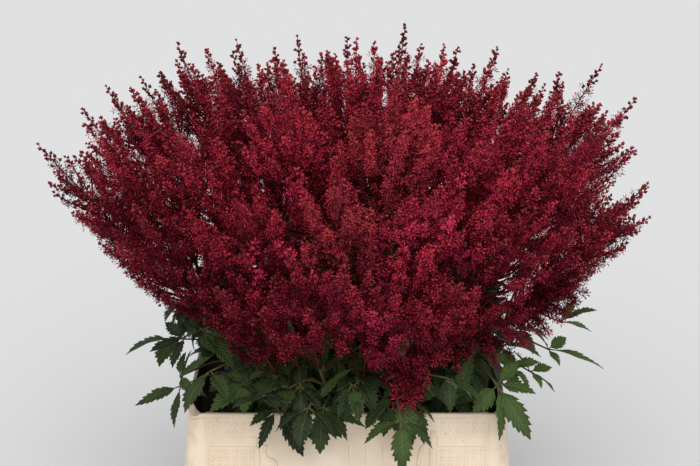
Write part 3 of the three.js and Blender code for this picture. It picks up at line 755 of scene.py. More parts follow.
class Branch:
    """A branch's smooth path, with places and directions along it."""

    STEPS = 24

    def __init__(self, points, radius):
        self.path, self.ahead = smooth_path(points, self.STEPS)
        self.radius = radius
        self.length = float(np.linalg.norm(np.diff(self.path, axis=0), axis=1).sum())
        self.side, self.other = across(unit(self.path[-1] - self.path[0]))

    def on(self, t):
        """Places at shares t of the path, and the direction at each."""
        at = np.linspace(0, 1, self.STEPS)
        place, ahead = (np.stack([np.interp(t, at, line[:, k]) for k in range(3)], -1)
                        for line in (self.path, self.ahead))
        return place, unit(ahead)

    def out(self, angle):
        """Directions at angles round the branch."""
        return self.side * np.cos(angle)[:, None] + self.other * np.sin(angle)[:, None]


def florets_of(branch, rng, look, budding, bare):
    """What each floret of a branch is like, and the roots and ends of its branchlets.

    Branchlets are longer away from the branch's tip, and carry florets from their own tip inwards.
    Florets within budding of that tip are closed, and a share bare of the branch at its root has none.
    """
    n = max(6, int(branch.length * (0.97 - bare) / look.branchlet_gap))
    back = (np.arange(n) + 0.25) * look.branchlet_gap
    t = np.clip(1 - back / branch.length + rng.normal(0, 0.006, n), 0, 1)
    root, ahead = branch.on(t)
    out = branch.out(np.arange(n) * GOLDEN + rng.uniform(-0.35, 0.35, n))
    widest = branch.radius * rng.uniform(0.7, 1.2, n) * np.interp(t, [0, 0.2], [0.6, 1.0])
    reach = np.minimum(widest, look.spread * back + 1.4) * rng.uniform(0.8, 1.2, n)
    way, bent = unit(ahead * 0.6 + out), unit(ahead * 1.3 + out)
    end = root + reach[:, None] * unit(way + bent)
    most = int(np.ceil(reach.max() / look.floret_gap)) + 1
    far = reach[:, None] - np.arange(most)[None, :] * look.floret_gap
    kept = far > 0.3 * look.floret_gap
    kept[:, 0] = True
    share = (far / reach[:, None])[..., None]
    place = root[:, None] + far[..., None] * unit(way[:, None] * (1.6 - share) + bent[:, None] * share)
    young = 0.85 - np.clip((back - budding + 6) / 20, 0, 1)[:, None] + 0.2 * (np.arange(most) == 0)[None, :]
    jog = rng.normal(0, 1, place.shape) * np.where(young < 0.5, 1.3, 0.4)[..., None]
    facing = unit(way[:, None] + 0.7 * unit(jog + 1e-6))
    opened = rng.uniform(0, 1, kept.shape) > young
    size = np.interp(back, [0, 10, 40], [0.95, 1.1, 1.05])[:, None] * rng.uniform(0.8, 1.2, kept.shape)
    florets = {"place": place + jog, "facing": facing, "opened": opened, "size": size,
               "outer": share[..., 0], "along": np.broadcast_to(t[:, None], kept.shape)}
    kept &= ~over_leaves(florets["place"])
    spurs = ~over_leaves(root)
    return {name: value[kept] for name, value in florets.items()}, root[spurs], end[spurs]


def plume_colour(plume, index, rng):
    """Tone, rosiness and fading of a plume; the front, left and right ones are darker than the middle, as painted
    shade.
    """
    x, y = plume.d[:2]
    rosy = PINKNESS.get(index, 0.04) + rng.uniform(-0.05, 0.05)
    # Painted shade: front, side and left plumes darker; painted light on the middle columns
    tone = 0.475 + rng.uniform(-0.13, 0.13) - 0.2 * np.interp(y, [-0.5, -0.15], [1, 0])
    tone += BRIGHTER.get(index, 0.0) - 0.27 * abs(x) - (0.06 if x < -0.1 else 0.0)
    tone += 0.11 * np.interp(abs(x + 0.08), [0.12, 0.28], [1, 0])
    return tone, rosy, 0.24 if index in FADING else 0.02


def tuft_share(points):
    """How far points lie within a rosy tuft, from 0 to 1."""
    apart = np.linalg.norm(points[:, None] - TUFTS[None, :, :3], axis=2)
    return np.exp(-(apart / TUFTS[:, 3]) ** 2).max(1)


def floret_colours(florets, rng, tone, rosy, faded, side_branch):
    """Tone, rosiness and fading of each floret: lighter at the tips and darker inside and low down, as painted light
    and shade, and duller when closed.
    """
    place, opened, outer = florets["place"], florets["opened"], florets["outer"]
    n, rosier = len(place), tuft_share(place)
    # The outer term is painted light at the ends of branchlets, with painted shade nearer the branch
    tones = tone + rng.normal(0, 0.1, n) + 0.35 * (outer - 0.75) - 0.25 * ~opened + 0.3 * rosier
    # Painted shade: side branches darker towards their root, lighter towards their tip
    tones += 1.05 * (np.minimum(florets["along"], 0.85) - 0.64) * side_branch
    tones += np.interp(place[:, 2], TONE_AT, TONE_BY_HEIGHT)
    rose = rosy * np.where(opened, 1, 0.4) + rng.normal(0, 0.08, n) + 0.12 * (outer - 0.7) + 0.5 * rosier
    return tones, rose, faded * rng.uniform(0.4, 1.2, n) + 0.2 * ~opened


def dab(values, tones, blush, fade):
    """Finish of each point of many florets: a tone each, darker or lighter by where the point is."""
    finish = np.ones((len(values), len(tones), 4))
    finish[..., 0] = values[:, None] + tones[None]
    finish[..., 1] = blush[:, None] + 0.25 * tones[None]
    finish[..., 2] = fade[:, None]
    return finish.clip(0, 1).reshape(-1, 4)


def add_florets(shell, rng, look, florets, wider, colours):
    """Open florets and closed buds, each turned its own way."""
    turns = rng.uniform(0, 6.28, len(florets["size"]))
    opened = florets["opened"]
    for kind, wide, (model, faces, tones) in ((opened, look.floret, (FLORET, FLORET_FACES, FLORET_TONE)),
                                              (~opened, look.bud, (BEAD, BEAD_FACES, BEAD_TONE))):
        values, rose, fade = (c[kind] for c in colours)
        add_copies(shell, model, faces, florets["place"][kind], florets["facing"][kind],
                   wide * wider * florets["size"][kind], turns[kind], dab(values, tones, rose, fade))


def add_spurs(shell, root, end, radius, finish):
    """Thin pointed spurs from each root to each end."""
    side, other = squares_to(unit(end - root))
    corners = [end] + [root + radius * round_at(side, other, angle) for angle in (0, 2.0944, 4.18879)]
    faces = repeated([(1, 2, 0), (2, 3, 0), (3, 1, 0), (1, 3, 2)], len(root), len(corners))
    shell.add(np.stack(corners, 1).reshape(-1, 3), faces, finish)


def add_core(shell, rng, branch, finish):
    """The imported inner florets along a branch, as one knobbly closed body."""
    path = branch.path[::3]
    at = np.linspace(0, 1, len(path))
    radii = branch.radius * np.interp(at, CORE_AT, CORE_R) * rng.uniform(0.7, 1.25, len(path)) + 0.25
    radii = np.where(over_leaves(path), 0.5, radii)
    wander = rng.normal(0, 0.5, path.shape)
    wander[0] = wander[-1] = 0
    add_tube(shell, path + wander, radii, 4, finish)


def plume_branches(plume, index, rng, look, stalk):
    """Each branch with its budding stretch and how far it takes a side branch's painted shade and bare root.

    The first is the top of the stalk. Drooping branches have no buds, and larger florets.
    """
    fingers = main_fingers(plume, index) + fine_fingers(plume, rng, look.fingers)
    buds = look.budding * np.interp(plume.d[1], [-0.35, -0.05], [0.2, 1.0])
    branches = [(Branch(stalk[1:], look.tip_radius), buds, 0.0)]
    for finger in fingers:
        height = (finger["points"][-1] @ plume.d - plume.base) / plume.span
        slimmer = 0.76 if finger["radius"] > 9 else 1
        branches.append((Branch(CENTRE + finger["points"], finger["radius"] * slimmer),
                         buds * np.interp(height, [0.5, 0.85], [0.0, 0.75]), 1.0))
    for points in HANGING.get(index, ()):
        branches.append((Branch(np.reshape(points, (3, 3)), HANGING_RADIUS), -14.0, HANGING_SHARE))
    return branches


def build_plume(plume, index, look):
    """One panicle: its stalk, side branches, branchlets and every floret."""
    rng = np.random.default_rng(PLUME_SEED + index)
    shell = Shell()
    tone, rosy, faded = plume_colour(plume, index, rng)
    at = np.linspace(0, 1, 9)
    stalk = CENTRE + np.outer(plume.base + plume.span * at, plume.d)
    add_tube(shell, stalk, 2.0 - 1.6 * at, 5, STALK_FINISH)
    for branch, budding, side_branch in plume_branches(plume, index, rng, look, stalk):
        shift, blush = rng.normal(0, 0.18), rosy + rng.normal(0, 0.1)
        florets, root, end = florets_of(branch, rng, look, budding, 0.25 * side_branch)
        colours = floret_colours(florets, rng, tone + shift, blush, faded, side_branch)
        add_florets(shell, rng, look, florets, 1.25 if budding < 0 else 1.0, colours)
        add_spurs(shell, root, end, look.spur, DEEP_SHADE_FINISH)
        add_core(shell, rng, branch, DEEP_SHADE_FINISH)
    return shell


# ---- leaves ----

WAYS = np.array([-1, -0.5, 0, 0.5, 1.0])  # shares of the half width at which a blade has points
FEW_WAYS = WAYS[::2]
BLADE_PEAK = 0.3003  # highest value of the curve s ** 0.7 * (1 - s) ** 1.1 of a blade's half width
NODE_BACK = 0.35  # how far below its plume a stem of the solids ends
STALK_STEPS = 8


def level(angle):
    """The level direction at an angle."""
    return np.array([math.cos(angle), math.sin(angle), 0])


def on_stem(bunch, plume, share, back=NODE_BACK):
    """A point of a plume's stem, from the bunch's waist at 0 to the plume at 1."""
    top = CENTRE + plume.d * (plume.base - back)
    return bunch.waist + (top - bunch.waist) * share


def leaf_from(root, heading, rise, stalk, arch, leaflets):
    """A leaf, as the start, middle and end of its stalk and its leaflets."""
    node = root + level(heading) * stalk * math.cos(rise) + UP * stalk * math.sin(rise)
    return root, (root + node) / 2 + UP * arch * stalk, node, leaflets


def leaflet(angle, fall, length, width, bend):
    """A blade that leaves its stalk at an angle and slope, and bends down towards its tip."""
    flat = level(angle)
    return {"ahead": flat * math.cos(fall) - UP * math.sin(fall), "up": flat * math.sin(fall) + UP * math.cos(fall),
            "length": length, "width": width, "bend": bend}


def solid_leaf(bunch, index, attempt, order):
    """One leaf by the rule that the solids follow."""
    draw = Draw(LEAF_SEED + index * 17, attempt * LEAF_DRAWS)
    plume = bunch.plumes[int(draw() * len(bunch.plumes))]
    root = on_stem(bunch, plume, 0.12 + 0.7 * draw())
    heading = math.atan2(bunch.d[1], bunch.d[0]) + (draw() - 0.5) * 2.6
    rise = (0.15, 0.45, 0.8)[order % 3] + (draw() - 0.5) * 0.6
    stalk, dip, size = 30 + 85 * draw(), -0.15 + 0.75 * draw(), 0.72 + 0.4 * draw()
    leaflets = [leaflet(heading + turn + (draw() - 0.5) * 0.12, dip + (draw() - 0.5) * 0.6, length * size,
                        width * size * (0.95 + 0.1 * draw()), 0.5 + 0.5 * draw())
                for turn, length, width in LEAFLETS]
    return leaf_from(root, heading, rise, stalk, 0.12, leaflets)


def collar_leaf(bunch, rng):
    """One more leaf low on a bunch, reaching out over the rim."""
    plume = bunch.plumes[rng.integers(len(bunch.plumes))]
    root = on_stem(bunch, plume, rng.uniform(0.0, 0.85))
    heading = math.atan2(bunch.d[1], bunch.d[0]) + rng.uniform(-1.1, 1.1)
    rise, stalk = rng.uniform(-0.1, 0.9), rng.uniform(30, 125)
    dip, size = rng.uniform(-0.35, 0.75), rng.uniform(0.7, 1.12)
    leaflets = [leaflet(heading + turn + rng.uniform(-0.14, 0.14), dip + rng.uniform(-0.4, 0.4), length * size,
                        width * size * rng.uniform(0.9, 1.1), rng.uniform(0.4, 1.1))
                for turn, length, width in COLLAR_LEAFLETS]
    return leaf_from(root, heading, rise, stalk, 0.14, leaflets)


def inner_leaf(bunch, rng):
    """A broad leaf on a stem inside the bouquet, between the container and the plumes."""
    plume = bunch.plumes[rng.integers(len(bunch.plumes))]
    at_back = bunch.d[1] > 0.2
    root = on_stem(bunch, plume, rng.uniform(0.5 if at_back else 0.15, 0.95))
    heading = rng.uniform(0, 2 * math.pi)
    rise, stalk = rng.uniform(0.0, 1.0), rng.uniform(15, 60)
    if at_back and rng.uniform() < 0.65:
        heading = math.atan2(bunch.d[1], bunch.d[0]) + rng.uniform(-1.1, 1.1)
        rise, stalk = rng.uniform(0.0, 0.5), rng.uniform(30, 110)
    dip, size = rng.uniform(0.5, 1.3) * rng.choice([-1, 1]), rng.uniform(0.8, 1.15)
    leaflets = [leaflet(heading + turn + rng.uniform(-0.15, 0.15), dip + rng.uniform(-0.4, 0.4), length * size,
                        1.45 * width * size, rng.uniform(0.4, 1.0))
                for turn, length, width in LEAFLETS]
    return leaf_from(root, heading, rise, stalk, 0.1, leaflets)


def rim_leaf(bunch, node, tips, rng):
    """A leaf at the rim with each leaflet's tip in a set place."""
    node = np.array(node, float)
    roots = np.array([on_stem(bunch, plume, share, 0) for plume in bunch.plumes
                      for share in np.linspace(0.05, 0.9, 12)])
    over_rim = max(node[2] - 12, 292)
    cost = np.linalg.norm(roots - node, axis=1) + 2 * np.abs(roots[:, 2] - over_rim)
    root = roots[int(np.argmin(cost))]
    middle = (root + node) / 2
    middle[2] = max(root[2], node[2]) + 10
    outward = unit([node[0] * 0.6, node[1], 0])
    leaflets = []
    for x, y, z, width in tips:
        chord = np.array([x, y, z]) - node
        length, ahead = float(np.linalg.norm(chord)), unit(chord)
        up = UP * 0.8 + outward * 0.55 + rng.normal(0, 0.22, 3)
        up = unit(up - (up @ ahead) * ahead)
        half = rng.uniform(0.12, 0.35)
        leaflets.append({"ahead": round_at(ahead, up, half), "up": round_at(up, -ahead, half),
                         "length": length * half / math.sin(half), "width": float(width), "bend": 2 * half})
    return root, middle, node, leaflets


def midrib(blade, at):
    """How far a bent blade has run ahead and sunk at shares of its length, and its bend there."""
    bend = blade["bend"] * at
    scale = blade["length"] / blade["bend"]
    return np.sin(bend) * scale, (np.cos(bend) - 1) * scale, bend


def leaf_marks(leaf):
    """Points over a leaf's blades, enough to tell what they touch."""
    node, leaflets = leaf[2:]
    marks = [node]
    for blade in leaflets:
        side = np.cross(blade["up"], blade["ahead"])
        for at in (0.3, 0.55, 0.8, 1.0):
            run, sink, _ = midrib(blade, at)
            p = node + run * blade["ahead"] + sink * blade["up"]
            wide = blade["width"] * (0.9 if at < 0.9 else 0)
            marks += [p, p + side * wide, p - side * wide]
    return np.array(marks)


def clear_of_wall(points):
    """Whether all points keep off the container's wall and rim."""
    x, y, z = np.abs(points[:, 0]), np.abs(points[:, 1]), points[:, 2]
    out, within = wall_at(z) + 3, WALL + 4
    outside = ((x > RIM_X + out) | (y > RIM_Y + out)) & (z > 200)
    inside = (x < RIM_X - within) & (y < RIM_Y - within)
    return bool(np.all((z > HEIGHT + 4) | outside | inside))


def collar_fits(leaf, others):
    """Whether a leaf has room beside the others and hangs out over the rim, but not too far."""
    root, middle, node, _ = leaf
    marks = leaf_marks(leaf)
    x, y, z = marks.T
    crowded = any(np.linalg.norm(node - other[2]) < 20 for other in others)
    lowest, highest = 294 if node[1] < -60 else 250, 362 if node[1] < -110 else 430
    level_with_rim = z.min() >= lowest and 285 <= node[2] <= highest
    near = np.abs(x).max() <= 372 and y.min() >= -285 and y.max() <= 300
    stalk, _ = smooth_path([root, middle, node], STALK_STEPS)
    return not crowded and level_with_rim and near and clear_of_wall(marks) and clear_of_wall(stalk)


def inner_fits(leaf, others):
    """Whether a leaf lies inside the bouquet, off the container and out of the sky above it."""
    marks = leaf_marks(leaf)
    x, y, z = marks.T
    hidden = y.min() > -115 or (y.min() > -165 and z.min() > 350)
    within = y.max() < 290 and np.abs(x).max() < 225 and z.min() > 262 and leaf[2][2] < 495
    return hidden and within and clear_of_wall(marks)


def try_leaves(grow, fits, tries, wanted, bunch, rng, others):
    """Leaves tried at random until enough of them fit."""
    found = []
    for _ in range(tries):
        if len(found) >= wanted:
            break
        leaf = grow(bunch, rng)
        if fits(leaf, others + found):
            found.append(leaf)
    return found


def add_leaflet(shell, rng, node, blade, shade, teeth, ways):
    """A toothed, veined blade with a raised outline of teeth and a folded middle."""
    notch = np.arange(teeth) / teeth
    s = np.sort(np.concatenate([notch, notch + 0.74 / teeth, [1.0]]))
    rows, n = len(s), len(ways)
    envelope = s ** 0.7 * (1 - s) ** 1.1 / BLADE_PEAK
    tooth = np.where(np.arange(rows) % 2 == 1, 1.0, 0.0)
    coarse = 0.4 * np.where((np.arange(rows) // 2) % 2 == 0, 1.0, 0.6)
    half = blade["width"] * envelope * (1.16 - coarse * (1 - tooth))
    half = np.maximum(half, np.where(s < 0.05, 1.0, 0.12))
    at = LEAFLET_STALK + (1 - LEAFLET_STALK) * s
    wave = rng.uniform(0, 2 * math.pi)
    grid = np.zeros((rows, n, 3))
    side = np.cross(blade["up"], blade["ahead"])
    for j, w in enumerate(ways):
        forward = 0.045 * abs(w) * (tooth if abs(w) > 0.9 else 0.5)
        run, sink, bend = midrib(blade, np.clip(at + forward * np.minimum(1.0, 4 * (1 - s)), 0, 1.0))
        normal = blade["up"] * np.cos(bend)[:, None] + blade["ahead"] * np.sin(bend)[:, None]
        off = w * half
        ripple = 1.1 * abs(w) * np.sin(wave + 9.0 * at + 2.2 * w) * envelope
        lift = 0.22 * np.abs(off) + ripple
        grid[:, j] = (node + run[:, None] * blade["ahead"] + sink[:, None] * blade["up"]
                      + off[:, None] * side + lift[:, None] * normal)
        if j == 0:
            up = normal
    thick = np.full((rows, n, 1), 0.35)
    thick[:, [0, -1]] = 0.12
    points = np.concatenate([(grid + way * thick * up[:, None]).reshape(-1, 3) for way in (1, -1)])
    a = (np.arange(rows - 1)[:, None] * n + np.arange(n - 1)[None]).ravel()
    quads = np.stack([a, a + n, a + n + 1, a + 1], 1)
    under = quads[:, ::-1] + rows * n
    rim = np.concatenate([np.arange(n), np.arange(1, rows) * n + n - 1,
                          (rows - 1) * n + np.arange(n - 2, -1, -1), np.arange(rows - 2, 0, -1) * n])
    after = np.roll(rim, -1)
    edge = np.stack([rim, after, after + rows * n, rim + rows * n], 1)
    top = np.stack([np.tile(ways, rows), np.repeat(s, n), np.full(rows * n, shade), np.zeros(rows * n)], 1)
    shell.add(points, np.vstack([quads, under, edge]), np.vstack([top, top + (0, 0, 0, 1)]))
    end = grid[1, n // 2]
    add_tube(shell, [node, (node + end) / 2 + blade["up"] * 0.4, end], [0.9, 0.8, 0.4], 4, (0.6, 0, 0, 1), 1)


def add_leaf(shell, rng, leaf, shade, teeth, ways):
    """A leaf's stalk and its leaflets."""
    root, middle, node, leaflets = leaf
    path, _ = smooth_path([root, middle, node], STALK_STEPS)
    add_tube(shell, path, np.linspace(1.7, 1.1, STALK_STEPS), 5, (0.8, 0, 0, 1), 1)
    for blade in leaflets:
        add_leaflet(shell, rng, node, blade, np.clip(shade + rng.normal(0, 0.08), 0, 1), teeth, ways)


def add_stem(shell, bunch, plume, k):
    """The k-th stem of a bunch, from the floor through the bunch's waist up into its plume."""
    steps = 14
    aside = level(k * GOLDEN) * 2.6 * math.sqrt(k + 0.5)
    foot, waist = bunch.foot + aside, bunch.waist + aside * 0.75
    top = CENTRE + plume.d * (plume.base + 6)
    path, _ = smooth_path([foot, (foot + waist) / 2, waist, waist + (top - waist) * 0.5, top], steps)
    t = np.linspace(0, 1, steps)
    add_tube(shell, path, 2.3 - 0.35 * t, 8, np.stack([0.25 + 0.45 * t, t, t, np.ones(steps)], 1), 1)


def leaf_tone_and_painted_light(leaf, rng):
    """A leaf's tone: random, with painted light that makes it lighter towards the right, and now and then one that
    stands out lighter.
    """
    x = leaf[2][0]
    lit, least = np.interp(x, [0, 130, 220], [0.36, 1.0, 1.3]), np.interp(x, [110, 200], [0, 0.75])
    return lit * rng.uniform(least, 1) ** 2 + 0.3 * (rng.uniform() < 0.16)


def build_leafy_stems(bunch, index, look):
    """One bunch: a stem for each plume, from the floor up, and its leaves."""
    rng = np.random.default_rng(STEM_SEED + index)
    shell = Shell()
    for k, plume in enumerate(bunch.plumes):
        add_stem(shell, bunch, plume, k)
    leaves = [solid_leaf(bunch, index, attempt, order) for order, attempt in enumerate(LEAVES[index])]
    leaves += [rim_leaf(bunch, node, tips, rng) for at, node, tips in RIM_LEAVES if at == index]
    leaves += try_leaves(collar_leaf, collar_fits, COLLAR_TRIES, COLLAR[index], bunch, rng, leaves)
    for leaf in leaves:
        add_leaf(shell, rng, leaf, leaf_tone_and_painted_light(leaf, rng), look.teeth, WAYS)
    # Inner leaves take a low tone: painted shade, as they lie inside the bouquet
    for leaf in try_leaves(inner_leaf, inner_fits, INNER_TRIES, INNER[index], bunch, rng, leaves):
        add_leaf(shell, rng, leaf, 0.15 * rng.uniform(0, 1), 4, FEW_WAYS)
    return shell


COLLAR = [3, 3, 3, 3, 3, 3, 7, 8, 7, 2, 2]  # more leaves of each bunch, over the rim
INNER = [13, 14, 13, 13, 13, 12, 22, 28, 22, 22, 27]  # leaves of each bunch inside the bouquet
COLLAR_TRIES, INNER_TRIES = 400, 300
COLLAR_LEAFLETS = [(1.7, 46.0, 9.0), (0.85, 58.0, 11.5), (0.0, 72.0, 14.0), (-0.85, 58.0, 11.5),
                   (-1.7, 46.0, 9.0)]

# Leaves that lie over the rim: bunch, middle, and the tip and half width of each leaflet
RIM_LEAVES = [
    (0, (-215, -60, 300), [(-272, -85, 283, 8), (-220, -115, 265, 7), (-202, -40, 342, 8), (-177, -120, 310, 6)]),
    (0, (-206, -70, 372), [(-250, -95, 361, 9), (-220, -115, 347, 9), (-184, -60, 394, 8), (-234, -50, 384, 8)]),
    (0, (-197, -40, 394), [(-233, -55, 412, 7), (-211, -30, 409, 6), (-171, -75, 382, 7)]),
    (1, (-124, -150, 344),
     [(-169, -185, 317, 11), (-126, -195, 319, 12), (-102, -170, 364, 8), (-150, -150, 353, 7)]),
    (1, (-87, -168, 314),
     [(-120, -180, 296, 7), (-109, -186, 268, 8), (-54, -190, 259, 12), (-36, -188, 279, 9), (-105, -170, 332, 7)]),
    (2, (-41, -166, 317), [(-6, -190, 284, 9), (23, -195, 301, 8), (7, -160, 365, 9), (-58, -172, 349, 8)]),
    (2, (-29, -150, 356), [(-20, -140, 417, 6), (-2, -160, 381, 8), (-55, -160, 386, 7)]),
    (3, (45, -166, 322), [(23, -182, 293, 8), (46, -186, 287, 9), (68, -186, 285, 9), (63, -170, 353, 7)]),
    (3, (83, -168, 320), [(95, -190, 276, 9), (70, -186, 301, 8), (115, -165, 341, 8)]),
    (4, (128, -160, 318), [(158, -130, 375, 10), (90, -165, 346, 8), (162, -170, 329, 6)]),
    (4, (185, -168, 346),
     [(154, -188, 317, 12), (187, -198, 284, 7), (226, -195, 284, 13), (232, -180, 339, 10), (214, -150, 372, 9)]),
    (5, (258, -60, 351), [(327, -85, 334, 8), (270, -95, 342, 6), (283, -45, 361, 8), (239, -70, 377, 7)]),
    (5, (233, -90, 332), [(263, -110, 312, 6), (245, -120, 321, 7), (262, -80, 334, 8), (211, -100, 363, 8)]),
    (5, (275, -40, 381), [(313, -60, 375, 9), (322, -40, 397, 9), (294, -30, 407, 7)]),
    (1, (-152, -120, 380), [(-135, -160, 368, 11), (-180, -110, 376, 8), (-126, -130, 399, 8)]),
    (4, (117, -110, 348), [(123, -90, 362, 9), (102, -110, 367, 8), (141, -150, 340, 9)]),
    (1, (-180, -120, 400), [(-139, -165, 365, 13), (-207, -110, 408, 7), (-165, -150, 382, 9)]),
    (0, (-215, -70, 317), [(-171, -100, 357, 6), (-208, -50, 343, 7), (-192, -110, 308, 7)]),
    (1, (-139, -135, 350),
     [(-172, -150, 329, 10), (-148, -160, 320, 9), (-106, -140, 368, 9), (-119, -165, 335, 10),
      (-134, -120, 373, 8)]),
    (1, (-99, -130, 361), [(-127, -120, 373, 9), (-70, -160, 356, 9), (-88, -165, 345, 10), (-107, -110, 380, 8)]),
    (2, (-64, -145, 332), [(-93, -160, 325, 9), (-36, -160, 333, 9), (-51, -130, 361, 8), (-71, -165, 311, 8)]),
    (3, (19, -140, 330), [(-9, -150, 348, 9), (6, -160, 312, 9), (36, -160, 320, 9), (46, -140, 352, 9)]),
    (3, (6, -120, 371), [(-21, -140, 365, 9), (34, -140, 360, 9), (16, -150, 348, 9), (4, -100, 390, 7)]),
    (5, (208, -110, 345), [(183, -100, 363, 9), (226, -140, 330, 8), (243, -110, 353, 8), (203, -150, 329, 9)]),
    (4, (155, -120, 316), [(132, -140, 311, 8), (173, -150, 316, 8), (146, -100, 336, 8)]),
    (8, (-78, 78, 452), [(-58, 70, 498, 13), (-96, 70, 500, 13), (-76, 60, 512, 11)]),
    (8, (-96, 76, 466), [(-58, 66, 448, 13), (-60, 66, 476, 13), (-110, 66, 500, 12)]),
    (8, (-130, 70, 500), [(-112, 60, 545, 13), (-96, 64, 524, 13), (-134, 60, 540, 12)]),
    (7, (-60, 96, 448), [(-70, 80, 486, 12), (-40, 80, 482, 12), (-82, 90, 470, 11)]),
    (6, (70, 84, 440), [(56, 70, 484, 13), (84, 70, 480, 12), (76, 60, 462, 11)]),
    (5, (176, -40, 414), [(190, -60, 446, 12), (206, -60, 428, 12), (178, -60, 440, 10)]),
    (5, (180, -50, 366), [(196, -62, 400, 12), (206, -66, 382, 12), (184, -60, 388, 10)]),
]


# ---- container ----

# Sides are numbered from the front, then right, back and left: the direction out of each
OUTWARD = np.array([(0, -1), (1, 0), (0, 1), (-1, 0)], float)
SIDE_POINTS, CORNER_POINTS = 15, 9  # points of one level along a side and round a corner
PANEL_LOW, PANEL_HIGH = 190, 292
PANEL_EDGE = [(172, 180), (122, 130)]  # half width of a panel low and high, on a long and on a short side
RECESS = 1.2  # depth of the panels
SUNK = -2.4  # where relief starts, inside the wall
PLAIN = (0.2, 0, 0, 1)  # finish of relief

# Levels of the wall: height, how far it stands out beyond the rim, and the corners' radius
OUTER_LEVELS = [
    (0.0, -4.0, 22), (1.2, -2.4, 23), (3.2, -0.9, 23.5), (6.0, 0.4, 24), (40, 2.3, 24), (90, 5.1, 24),
    (140, 7.8, 24), (172, 9.5, 24), (180, 10.0, 24), (188.6, 9.3, 24), (190.0, 9.2, 23.8), (210, 7.5, 23.2),
    (240, 5.0, 22), (270, 2.5, 21), (290.8, 0.8, 20.2), (292.2, 0.65, 20.1), (294.6, 0.45, 20),
    (295.3, 1.35, 21), (296.2, 1.5, 21), (298.7, 1.3, 21), (299.6, 0.6, 20.5), (300.0, -0.5, 20),
]
INNER_LEVELS = [
    (300.0, -3.2, 40), (299.3, -3.9, 40), (296, -3.7, 39), (262, -0.8, 24), (240, 1.0, 17.6),
    (180, 6.0, 20), (90, 1.2, 20), (14, -3.5, 20), (9.6, -4.6, 20), (8.0, -7.0, 20),
]


def wall_at(z):
    """How far the wall stands out beyond the rim at a height."""
    z = np.asarray(z, float)
    return np.where(z > BELLY_Z, BELLY * (HEIGHT - z) / (HEIGHT - BELLY_Z), BELLY * np.clip(z / BELLY_Z, 0, 1))


def rim_dip(x, y):
    """How deep the rounded scoop in the rim is at the corners."""
    corner, scoop, sunk = 8, 15, 9.5
    s = ((np.abs(x) - (RIM_X - corner)) - (np.abs(y) - (RIM_Y - corner))) / math.sqrt(2)
    low = sunk - np.sqrt(np.maximum(scoop ** 2 - s ** 2, 0.0))
    near = (np.abs(x) > RIM_X - 40) & (np.abs(y) > RIM_Y - 40)
    return np.where(near, np.maximum(-low, 0.0), 0.0)


def section(z, x, y, r, marks):
    """One level of the wall: points round a rounded rectangle, with marks along its long and short sides."""
    turn = np.linspace(0, math.pi / 2, CORNER_POINTS)[:, None]
    points = []
    for side in range(4):
        out, ahead = OUTWARD[side], OUTWARD[(side + 1) % 4]
        far, along = (x, y) if side % 2 else (y, x)
        points.append(out * far + ahead * marks[side % 2][:, None])
        points.append(out * (far - r) + ahead * (along - r) + r * (out * np.cos(turn) + ahead * np.sin(turn)))
    points = np.vstack(points)
    return np.column_stack([points, np.full(len(points), z)])


def panel_edge(side, z):
    """How far from the middle of a side its panel ends at a height."""
    return float(np.interp(z, [PANEL_LOW, PANEL_HIGH], PANEL_EDGE[side % 2]))


def panel_marks(side, z):
    """Distances of a level's points along a side, the outer two on either side of the panel's edge."""
    edge, step = panel_edge(side, z), 1.4
    return np.concatenate([[-edge], np.linspace(step - edge, edge - step, SIDE_POINTS - 2), [edge]])


def build_container():
    """The walls outside and inside, the rim and the floor, as one closed body."""
    shell = Shell()
    rings, marks = [], []
    for z, out, r in OUTER_LEVELS:
        ring = section(z, RIM_X + out, RIM_Y + out, r, [panel_marks(side, z) for side in (0, 1)])
        for side in range(4) if PANEL_LOW <= z < PANEL_HIGH else ():
            start = side * (SIDE_POINTS + CORNER_POINTS)
            ring[start + 1:start + SIDE_POINTS - 1, :2] -= RECESS * OUTWARD[side]
        rings.append(ring)
        # Grime and painted shade: the foot and the groove under the rim lip are darker
        marks.append((0.55 if z < 10 or 293 < z < 295.5 else 0.16, 0.0))
    for z, out, r in INNER_LEVELS:
        x, y = RIM_X + out, RIM_Y + out
        even = np.linspace(-1, 1, SIDE_POINTS)
        rings.append(section(z, x, y, r, [even * (x - r - 0.5), even * (y - r - 0.5)]))
        # Inside: grime and painted shade in Red, darker towards the floor, and painted shade in Green below the lip
        marks.append((0.35 if z > 20 else 0.8, 0.0 if z > 298 else 0.9))
    sides, points = len(rings[0]), np.vstack(rings)
    dip = rim_dip(points[:, 0], points[:, 1])
    points[:, 2] -= dip * np.clip((points[:, 2] - 280) / 20, 0, 1) ** 1.5
    finish = np.zeros((len(points), 4))
    finish[:, :2] = np.repeat(marks, sides, axis=0)
    # Painted shade in the rounded corner scoops of the rim
    finish[:, 0] += 0.35 * np.clip(dip / 5, 0, 1)
    finish[:, 3] = 1
    shell.add(points, ring_faces(len(rings), sides, False, False), finish)
    k, hub = np.arange(sides), np.full(sides, sides)
    after = (k + 1) % sides
    for ring, z, fan in ((rings[0], 0.0, (hub, after, k)), (rings[-1], FLOOR, (hub, k, after))):
        shell.add(np.vstack([ring, [(0, 0, z)]]), np.stack(fan, 1), (0.5, 0, 0, 1))
    return shell


def face_point(side, u, z, out):
    """A point on a side wall: u along it, out from its surface."""
    wall = float(wall_at(z)) + (RIM_X if side % 2 else RIM_Y)
    x, y = OUTWARD[side] * (wall + out) + OUTWARD[(side + 1) % 4] * u
    return np.array([x, y, z])


